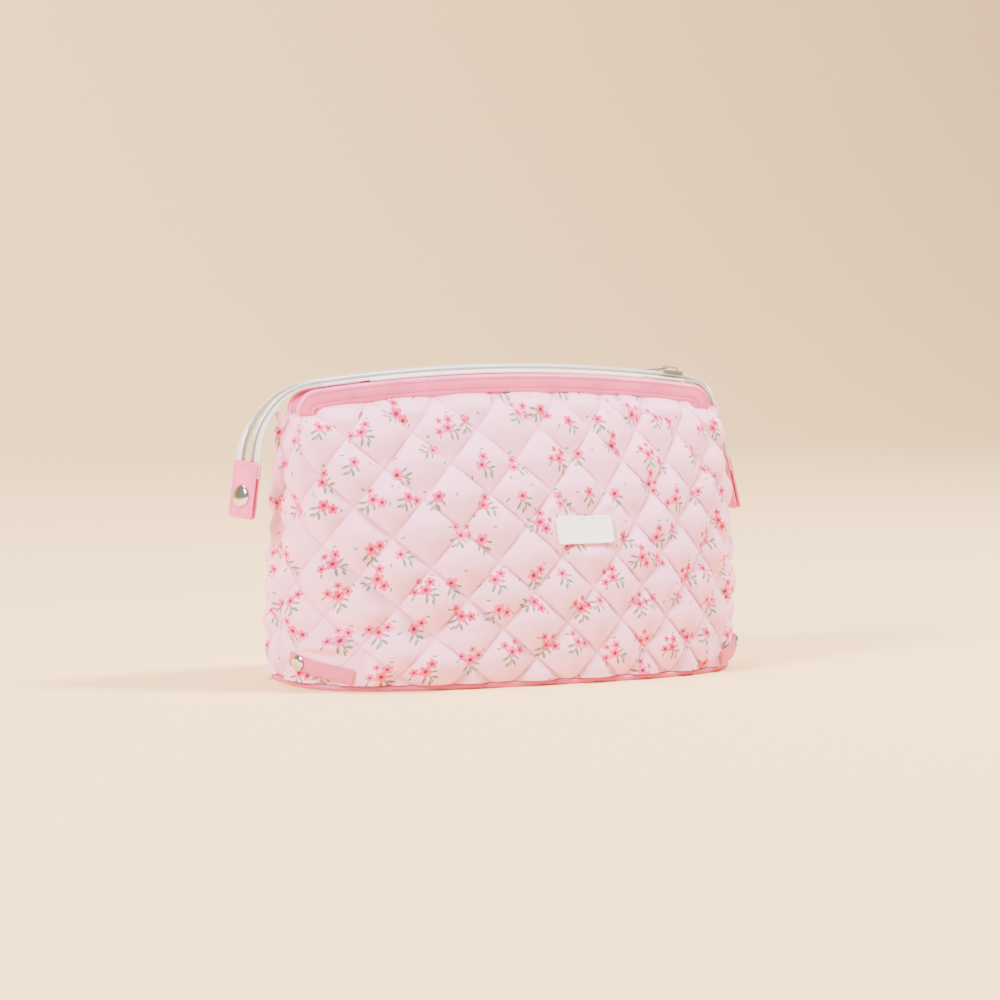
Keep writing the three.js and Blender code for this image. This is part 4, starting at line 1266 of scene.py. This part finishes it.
@dataclass
class ZipTail:
    """The zip's run past one end of the mouth, down into a tab held by a press stud."""

    end: End
    zip: Zip
    reach: float
    shift: float
    drop: float
    lean: float
    twist: float
    tab_width: float = 19 * MM
    tab_length: float = 32 * MM
    tab_ply: float = 1.2 * MM
    tape_width: float = 9.5 * MM
    overlap: float = 9 * MM
    snap_drop: float = 19.5 * MM
    cap_radius: float = 6.25 * MM
    socket_radius: float = 5.5 * MM
    pull: float = 0.45
    steps: int = 48

    def rail(self) -> Rail:
        """The tail's path: out along the arch, down, and on into the tab, in the right end's frame."""
        from_x = self.zip.end_reach + GAP
        slope = math.asin(self.zip.end_reach / BODY.arch_radius)
        start = Vector((from_x, 0, float(BODY.arch(from_x))))
        top = BODY.coil_top - self.drop
        side = float(BODY.outline(np.array(top - self.tab_length))[0])
        stop = Vector((side + self.reach, self.shift, top))
        pull, lean = self.pull * (stop - start).length, math.radians(self.lean)
        leave = start + Vector((math.cos(slope), 0, -math.sin(slope))) * pull
        arrive = stop + Vector((-math.sin(lean), 0, math.cos(lean))) * pull
        u = np.linspace(0, 1, 400)[:, None]
        knots = [np.array(v) for v in (start, leave, arrive, stop)]
        shares_of_knots = ((1 - u) ** 3, 3 * u * (1 - u) ** 2, 3 * u * u * (1 - u), u**3)
        points = sum(share * knot for share, knot in zip(shares_of_knots, knots))
        curve = Rail(points, points * 0, points * 0)
        shares = np.linspace(0, 1, self.steps + 1)
        lift = self.zip.coil_height + GAP + self.zip.tape / 2
        origins, acrosses, ups = [], [], []
        for s in shares:
            here = Vector(curve.read(curve.origins, s))
            ahead = curve.read(curve.origins, min(s + 0.01, 1))
            down = Vector(ahead - curve.read(curve.origins, max(s - 0.01, 0)))
            down.normalize()
            twist = math.radians(self.twist) * float(smooth(s, 0.3, 1))
            across = Matrix.Rotation(twist, 3, down) @ Vector((0, 1, 0))
            across = (across - down * across.dot(down)).normalized()
            up = down.cross(across)
            origins.append(here + up * lift * float(smooth(s, 0.4, 0.9)))
            acrosses.append(across)
            ups.append(up)
        self.tab_seat = (origins[-1].copy(), acrosses[-1].copy(), down.copy(), ups[-1].copy())
        origins.append(origins[-1] + down * self.overlap)
        acrosses.append(acrosses[-1])
        ups.append(ups[-1])
        return Rail(*(np.array([tuple(v) for v in rows]) for rows in (origins, acrosses, ups)))

    @property
    def turn(self) -> float:
        """Turn about the vertical that takes the right end's frame to this end."""
        return 0.0 if self.end is End.RIGHT else math.pi

    def build(self, wardrobe: Wardrobe) -> None:
        """Makes the tail's coils and tapes, the tab and its stud."""
        rail = self.rail()
        coiled = Rail(rail.origins[:-1], rail.across[:-1], rail.up[:-1])
        word, sign = self.end.word, self.end.value
        for near, face in ((-1, Side.FRONT), (1, Side.BACK)):
            shown = face if self.end is End.RIGHT else (Side.BACK if face is Side.FRONT else Side.FRONT)
            name, rings = f"{word}_tail_{shown.word}", self.zip.coil(coiled, near)
            coil = piece(f"{name}_coil", rings, [wardrobe["coil"]], turn=self.turn)
            tape = piece(
                f"{name}_tape", self.tape(rail, near), [wardrobe["tape"], wardrobe["inside"]], 50, self.turn
            )
            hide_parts(f"{word}_tail_{shown.word}_stringer")
            for made in (coil, tape):
                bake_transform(made)
        self.build_tab(wardrobe)

    def tape(self, rail: Rail, near: float) -> bmesh.types.BMesh:
        """One side's tape, which widens down the tail."""
        narrow, wide = 4.2 * MM, self.tape_width - self.zip.parting / 2
        outline = np.array(self.zip.tape_section(near, 1.0, 0.0))
        inner = near * (self.zip.parting / 2 + GAP)
        count = len(outline)

        def place(s: np.ndarray, t: np.ndarray) -> np.ndarray:
            """Points of the tape at each station."""
            k = np.rint(s * count).astype(int) % count
            width = narrow + (wide - narrow) * smooth(t, 0.2, 0.5)
            share = np.array([0.0, 0.4, 0.7, 1.0, 1.0, 0.7, 0.4, 0.0])[k]
            return rail.place(t, inner + near * width * share, outline[k, 1])

        def flat(s: np.ndarray, t: np.ndarray) -> np.ndarray:
            """Distances across and along the tape."""
            return np.stack([s * 2 * wide, t * rail.length], 1)

        bm = surface(count, 90, place, flat, wrap=True)
        bmesh.ops.holes_fill(bm, edges=[e for e in bm.edges if e.is_boundary], sides=0)
        bmesh.ops.recalc_face_normals(bm, faces=bm.faces)
        return bm

    def tab_matrix(self) -> Matrix:
        """The tab's frame: X across, Y up along the tab, Z out of its outer face, at its top edge."""
        origin, across, down, up = self.tab_seat
        middle = -self.zip.coil_height - GAP - self.zip.tape / 2
        made = Matrix((across, -down, up)).transposed().to_4x4()
        made.translation = origin + up * middle
        return Matrix.Rotation(self.turn, 4, "Z") @ made

    def border(self, inset: float) -> list[tuple[float, float, float]]:
        """Places and directions for the stitches round a tab's edge, as x, y and angle."""
        half, length = self.tab_width / 2 - inset, self.tab_length - inset
        corners = [(-half, -inset), (half, -inset), (half, -length), (-half, -length), (-half, -inset)]
        seats = []
        for (ax, ay), (bx, by) in zip(corners, corners[1:]):
            run = math.hypot(bx - ax, by - ay)
            count = round(run / (2.9 * MM))
            for k in range(count):
                s = (k + 0.5) / count
                seats.append((ax + (bx - ax) * s, ay + (by - ay) * s, math.atan2(by - ay, bx - ax)))
        return seats

    def build_tab(self, wardrobe: Wardrobe) -> None:
        """Makes the two plies, their stitches, and the stud's cap and socket."""
        word, matrix = self.end.word, self.tab_matrix()
        body = f"{word}_tail"
        face = self.zip.tape / 2 + GAP
        unit = thread_unit(2.1 * MM, 0.6 * MM)
        for name, z, out in (("outer", face + self.tab_ply / 2, 1), ("inner", -face - self.tab_ply / 2, -1)):
            bm = plate(self.tab_width, self.tab_length, self.tab_ply, 2.4 * MM, 0.4 * MM)
            bmesh.ops.translate(bm, vec=(0, -self.tab_length / 2, z), verts=bm.verts)
            bm.transform(matrix)
            ply = piece(f"{word}_tab_{name}_ply", bm, [wardrobe["band"]])
            skin = z + out * (self.tab_ply / 2 + 0.05 * MM)
            seats = [
                matrix @ Matrix.Translation((x, y, skin)) @ Matrix.Rotation(a, 4, "Z")
                for x, y, a in self.border(2.1 * MM)
            ]
            thread = piece(f"{word}_tab_{name}_stitches", scatter(unit, seats), [wardrobe["thread"]])
            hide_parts(f"{word}_tab_{name}")
            for made in (ply, thread):
                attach(made, body)
        outside = face + self.tab_ply
        r = self.cap_radius
        angles = np.linspace(0.0, math.pi / 2, 10)[1:-1]
        dome = [(r * math.cos(a), 0.9 * MM + 1.75 * MM * math.sin(a)) for a in angles]
        cap = turned([
            (0, 0.05 * MM), (r - 0.3 * MM, 0.05 * MM), (r, 0.4 * MM), (r, 0.75 * MM), (r - 0.15 * MM, 0.95 * MM),
            *[(0.97 * p, q) for p, q in dome], (0, 2.65 * MM),
        ])
        cap.transform(matrix @ Matrix.Translation((0, -self.snap_drop, outside)))
        r = self.socket_radius
        socket = turned([
            (0, -0.05 * MM), (r, -0.05 * MM), (r, -0.7 * MM), (r - 0.4 * MM, -1.1 * MM), (3.6 * MM, -1.1 * MM),
            (3.3 * MM, -1.8 * MM), (2.9 * MM, -2.1 * MM), (2.3 * MM, -2.1 * MM), (2.1 * MM, -1.7 * MM),
            (2.1 * MM, -0.9 * MM), (0, -0.9 * MM),
        ])
        socket.transform(matrix @ Matrix.Translation((0, -self.snap_drop, -outside)))
        for name, bm in (("cap", cap), ("socket", socket)):
            made = piece(f"{word}_stud_{name}", bm, [wardrobe["chrome"]], 60)
            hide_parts(f"{word}_snap_{name}")
            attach(made, body)


# ---------------------------------------------------------------- sides, base, label and straps


@dataclass
class Gusset:
    """The fabric at one end that folds inwards between the two frames."""

    end: End
    low: float = 116 * MM
    high: float = 154 * MM
    depth: float = 12 * MM
    spread: float = 7.5 * MM
    outer_low: float = 130 * MM
    outer_high: float = 124 * MM

    def build(self, wardrobe: Wardrobe) -> None:
        """Makes the fold's two leaves."""
        word = self.end.word
        for side in Side:
            facing = -1 if side is Side.FRONT else 1

            def place(s: np.ndarray, t: np.ndarray, out: float = 0.0, face: int = facing) -> np.ndarray:
                """Points of one leaf: s from the fold to the frame, t up."""
                rise = smooth(t, 0.0, 1.0)
                width = 0.4 * MM + (self.spread - 0.4 * MM) * rise * t**0.3
                outer = self.outer_low + (self.outer_high - self.outer_low) * t
                bulge = 1.2 * MM * np.sin(s * math.pi) * rise
                x = outer - self.depth * rise * (1 - s) - bulge + out
                height = self.low + (self.high - self.low) * t
                return np.stack([self.end.value * x, face * width * s, height], 1)

            def flat(s: np.ndarray, t: np.ndarray) -> np.ndarray:
                """Distances across and up the leaf."""
                return np.stack([s * (self.depth + self.spread) + 0.05, t * (self.high - self.low)], 1)

            bm = surface(14, 30, place, flat)
            bmesh.ops.solidify(bm, geom=list(bm.faces), thickness=0.9 * MM)
            bmesh.ops.recalc_face_normals(bm, faces=bm.faces)
            made = piece(f"{word}_gusset_{side.word}_leaf", bm, [wardrobe["quilt"]])
            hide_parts(f"{word}_gusset")
            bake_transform(made)


@dataclass
class Base:
    """The leatherette base under the board and lining floor."""

    thickness: float = 3.0 * MM
    inset: float = 1.6 * MM
    segments: int = 200

    def build(self, wardrobe: Wardrobe) -> None:
        """Makes the base with a soft rolled edge."""
        bm = bmesh.new()
        bmesh.ops.create_circle(bm, cap_ends=True, segments=self.segments, radius=1.0)
        length, depth, square = BODY.outline(np.array(self.thickness))
        for vert in bm.verts:
            angle = math.atan2(vert.co.y, vert.co.x)
            c, s = math.cos(angle), math.sin(angle)
            x = (length - self.inset) * math.copysign(abs(c) ** (2 / square), c)
            y = (depth - self.inset) * math.copysign(abs(s) ** (2 / square), s)
            vert.co = (x, y, 0.0)
        top = bmesh.ops.extrude_face_region(bm, geom=list(bm.faces), use_keep_orig=True)
        bmesh.ops.translate(
            bm, vec=(0, 0, self.thickness), verts=[g for g in top["geom"] if isinstance(g, bmesh.types.BMVert)]
        )
        rims = [e for e in bm.edges if abs(e.verts[0].co.z - e.verts[1].co.z) < 1e-6]
        bmesh.ops.bevel(bm, geom=rims, offset=1.1 * MM, affect="EDGES", segments=4, profile=0.5, material=-1)
        bmesh.ops.recalc_face_normals(bm, faces=bm.faces)
        made = piece("base_skin", bm, [wardrobe["base"]])
        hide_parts("base_panel")
        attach(made, "bag")


@dataclass
class Label:
    """The blank sewn-on label, with a raised border."""

    width: float = 34 * MM
    height: float = 16 * MM
    thickness: float = 1.0 * MM
    border: float = 1.1 * MM

    def build(self, wardrobe: Wardrobe) -> None:
        """Makes the label where the CAD model has it."""
        low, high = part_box("label")
        centre = (low + high) / 2
        step = 1 * MM
        depths = BODY.outline(np.array([centre.z - step, centre.z + step]))[1]
        lean = math.atan2(depths[0] - depths[1], 2 * step)
        bm = plate(self.width, self.height, self.thickness, 2.2 * MM, 0.25 * MM)
        bm.faces.ensure_lookup_table()
        front = max(bm.faces, key=lambda f: f.calc_center_median().z + f.calc_area())
        bmesh.ops.inset_individual(bm, faces=[front], thickness=self.border, depth=0.0)
        bmesh.ops.inset_individual(bm, faces=[front], thickness=0.25 * MM, depth=-0.22 * MM)
        bm.transform(Matrix.Translation(centre) @ Matrix.Rotation(math.pi / 2 - lean, 4, "X"))
        made = piece("sewn_label", bm, [wardrobe["label"]])
        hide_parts("label")
        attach(made, "bag")


@dataclass
class CornerStrap:
    """The small leatherette strap with a stud at one lower front corner."""

    end: End
    width: float = 8 * MM
    thickness: float = 1.4 * MM
    standoff: float = 1.0 * MM
    low: float = 8 * MM
    high: float = 16 * MM
    length: float = 36 * MM
    seam_offset: float = 18 * MM
    stud_radius: float = 4.6 * MM

    def rail(self) -> Rail:
        """The strap's path from the base seam up to its free end."""
        half = BODY.cloth_shares()[0][-1]
        s = np.linspace(0, 1, 30)
        along = half - self.seam_offset - self.length * (1 - s)
        height = self.low + (self.high - self.low) * s
        points = BODY.front(along, height, -self.standoff)
        tangent = np.gradient(points, axis=0)
        tangent /= np.linalg.norm(tangent, axis=1, keepdims=True)
        outward = np.cross(tangent, np.array([0.0, 0.0, 1.0]))
        outward /= np.linalg.norm(outward, axis=1, keepdims=True)
        return Rail(points, np.cross(outward, tangent), outward)

    def build(self, wardrobe: Wardrobe) -> None:
        """Makes the strap, its stitches and its stud."""
        rail, word, half = self.rail(), self.end.word, self.width / 2
        t = self.thickness
        left = [(0.5 * MM - half, t), (-half, 0.7 * t)]
        section = [(-half, 0), (half, 0), (half, 0.7 * t), (half - 0.5 * MM, t), *left]
        strap = swept(rail, section, 40)
        seats = []
        for p in (1.6 * MM - half, half - 1.6 * MM):
            seats += rail.seats(2.9 * MM, p, t + 0.05 * MM)
        thread = scatter(thread_unit(2.0 * MM, 0.5 * MM), seats)
        r = self.stud_radius
        stud = turned([
            (0, 0), (r - 0.3 * MM, 0), (r, 0.35 * MM), (r, 0.9 * MM), (r - 0.4 * MM, 1.3 * MM),
            (0.75 * r, 1.6 * MM), (0.45 * r, 1.8 * MM), (0, 1.85 * MM),
        ])
        share = 0.8
        at, up = rail.place(share, 0.0, t), rail.read(rail.up, share)
        ahead = rail.place(share + 0.02, 0.0, t)
        stud.transform(seat(Vector(at), Vector(ahead - at), Vector(up)))
        for name, bm, finish, slot in (
            ("strap_band", strap, "base", "leatherette"),
            ("strap_stitches", thread, "thread", "leatherette"),
            ("strap_rivet", stud, "chrome", "chrome"),
        ):
            if self.end is End.LEFT:
                bmesh.ops.scale(bm, vec=(-1, 1, 1), verts=bm.verts)
                bmesh.ops.recalc_face_normals(bm, faces=bm.faces)
            made = piece(f"{word}_{name}", bm, [wardrobe[finish]])
            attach(made, "bag")
            if name == "strap_band":
                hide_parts(f"{word}_strap")
            if name == "strap_rivet":
                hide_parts(f"{word}_strap_stud")


def dress_cad(wardrobe: Wardrobe) -> None:
    """Gives the CAD pieces that stay their finishes."""
    finishes = {
        "board": ["base_board"],
        "inside": ["lining_floor"],
        "steel": ["front_wire", "back_wire"],
        "band": ["left_frame_pocket", "right_frame_pocket"],
        "chrome": ["slider_body", "puller"],
    }
    for finish, nodes in finishes.items():
        for node in nodes:
            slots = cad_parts[node].material_slots
            for slot in slots:
                slot.material = wardrobe[finish]
            log.info("%s: dressed", node)


# ---------------------------------------------------------------- stage, light and camera


@dataclass
class Studio:
    """A pale sweep of paper under soft light, and the camera."""

    azimuth: float = 23.5
    elevation: float = 3.9
    distance: float = 1.8
    focal_share: float = 1.745
    target: tuple[float, float, float] = (-2 * MM, 0.0, 98.8 * MM)
    sensor: float = 36.0

    def build(self) -> None:
        """Makes the stage, the lights and the camera."""
        self.paper()
        self.lights()
        self.camera()

    def paper(self) -> None:
        """A floor that curves up into a backdrop."""
        bm = bmesh.new()
        low = bm.verts.new((-9.0, -6.0, 0.0))
        flat = bm.verts.new((-9.0, 2.2, 0.0))
        bm.edges.new((low, flat))
        bend = bmesh.ops.spin(
            bm, geom=[flat], cent=(-9.0, 2.2, 1.6), axis=(1, 0, 0), angle=math.pi / 2, steps=24
        )
        last = next(g for g in bend["geom_last"] if isinstance(g, bmesh.types.BMVert))
        top = bm.verts.new((-9.0, last.co.y, 9.0))
        bm.edges.new((last, top))
        sweep = bmesh.ops.extrude_edge_only(bm, edges=list(bm.edges))
        bmesh.ops.translate(
            bm, vec=(18.0, 0, 0), verts=[g for g in sweep["geom"] if isinstance(g, bmesh.types.BMVert)]
        )
        mesh = mesh_of(bm, "paper")
        made = bpy.data.objects.new("paper", mesh)
        bpy.context.scene.collection.objects.link(made)
        material = bpy.data.materials.new("paper")
        material.use_nodes = True
        shader = material.node_tree.nodes["Principled BSDF"]
        shader.inputs["Base Color"].default_value = linear(250, 213, 158)
        shader.inputs["Roughness"].default_value = 0.95
        shader.inputs["Specular IOR Level"].default_value = 0.1
        mesh.materials.append(material)

    @staticmethod
    def lights() -> None:
        """A soft key from the right, a broad fill, and an even surround."""
        for name, place, aim, size, power in (
            ("key", (1.3, -0.5, 1.9), (0, 0, 0.08), 0.45, 135.0),
            ("fill", (-2.3, -0.9, 1.7), (0, 0, 0.1), 0.9, 215.0),
            ("top", (0.0, 1.2, 3.4), (0, 2.2, 0.3), 2.4, 190.0),
        ):
            light = bpy.data.lights.new(name, "AREA")
            light.size, light.energy = size, power
            light.color = (1.0, 0.96, 1.0) if name == "fill" else (1.0, 0.97, 0.935)
            made = bpy.data.objects.new(name, light)
            made.location = place
            made.rotation_euler = (Vector(aim) - Vector(place)).to_track_quat("-Z", "Y").to_euler()
            bpy.context.scene.collection.objects.link(made)
        world = bpy.data.worlds.new("surround")
        world.use_nodes = True
        world.node_tree.nodes["Background"].inputs[0].default_value = (1.0, 0.97, 0.93, 1.0)
        world.node_tree.nodes["Background"].inputs[1].default_value = 0.5
        bpy.context.scene.world = world

    def camera(self) -> None:
        """The camera in front of the bag and to its left."""
        data = bpy.data.cameras.new("camera")
        data.sensor_width = self.sensor
        data.lens = self.focal_share * self.distance * self.sensor
        az, el = math.radians(self.azimuth), math.radians(self.elevation)
        ahead = Vector((math.sin(az) * math.cos(el), math.cos(az) * math.cos(el), -math.sin(el)))
        made = bpy.data.objects.new("camera", data)
        made.location = Vector(self.target) - ahead * self.distance
        made.rotation_euler = ahead.to_track_quat("-Z", "Y").to_euler()
        bpy.context.scene.collection.objects.link(made)
        bpy.context.scene.camera = made


def main() -> None:
    """Builds the bag, piece by piece, and its studio."""
    logging.basicConfig(level=logging.INFO, format="%(message)s")
    Studio().build()
    wardrobe = Wardrobe()
    zipper = Zip()
    for side in Side:
        QuiltedWall(side).build(wardrobe)
        MouthFrame(side).build(wardrobe)
        zipper.build_mouth(side, wardrobe)
    tails = {
        End.LEFT: dict(reach=19.45 * MM, shift=0.0, drop=52.5 * MM, lean=7.0, twist=-23.0),
        End.RIGHT: dict(reach=9.35 * MM, shift=8 * MM, drop=56 * MM, lean=14.0, twist=0.0),
    }
    for end in End:
        ZipTail(end, zipper, **tails[end]).build(wardrobe)
        Gusset(end).build(wardrobe)
        CornerStrap(end).build(wardrobe)
    Base().build(wardrobe)
    Label().build(wardrobe)
    dress_cad(wardrobe)


if __name__ == "__main__":
    main()
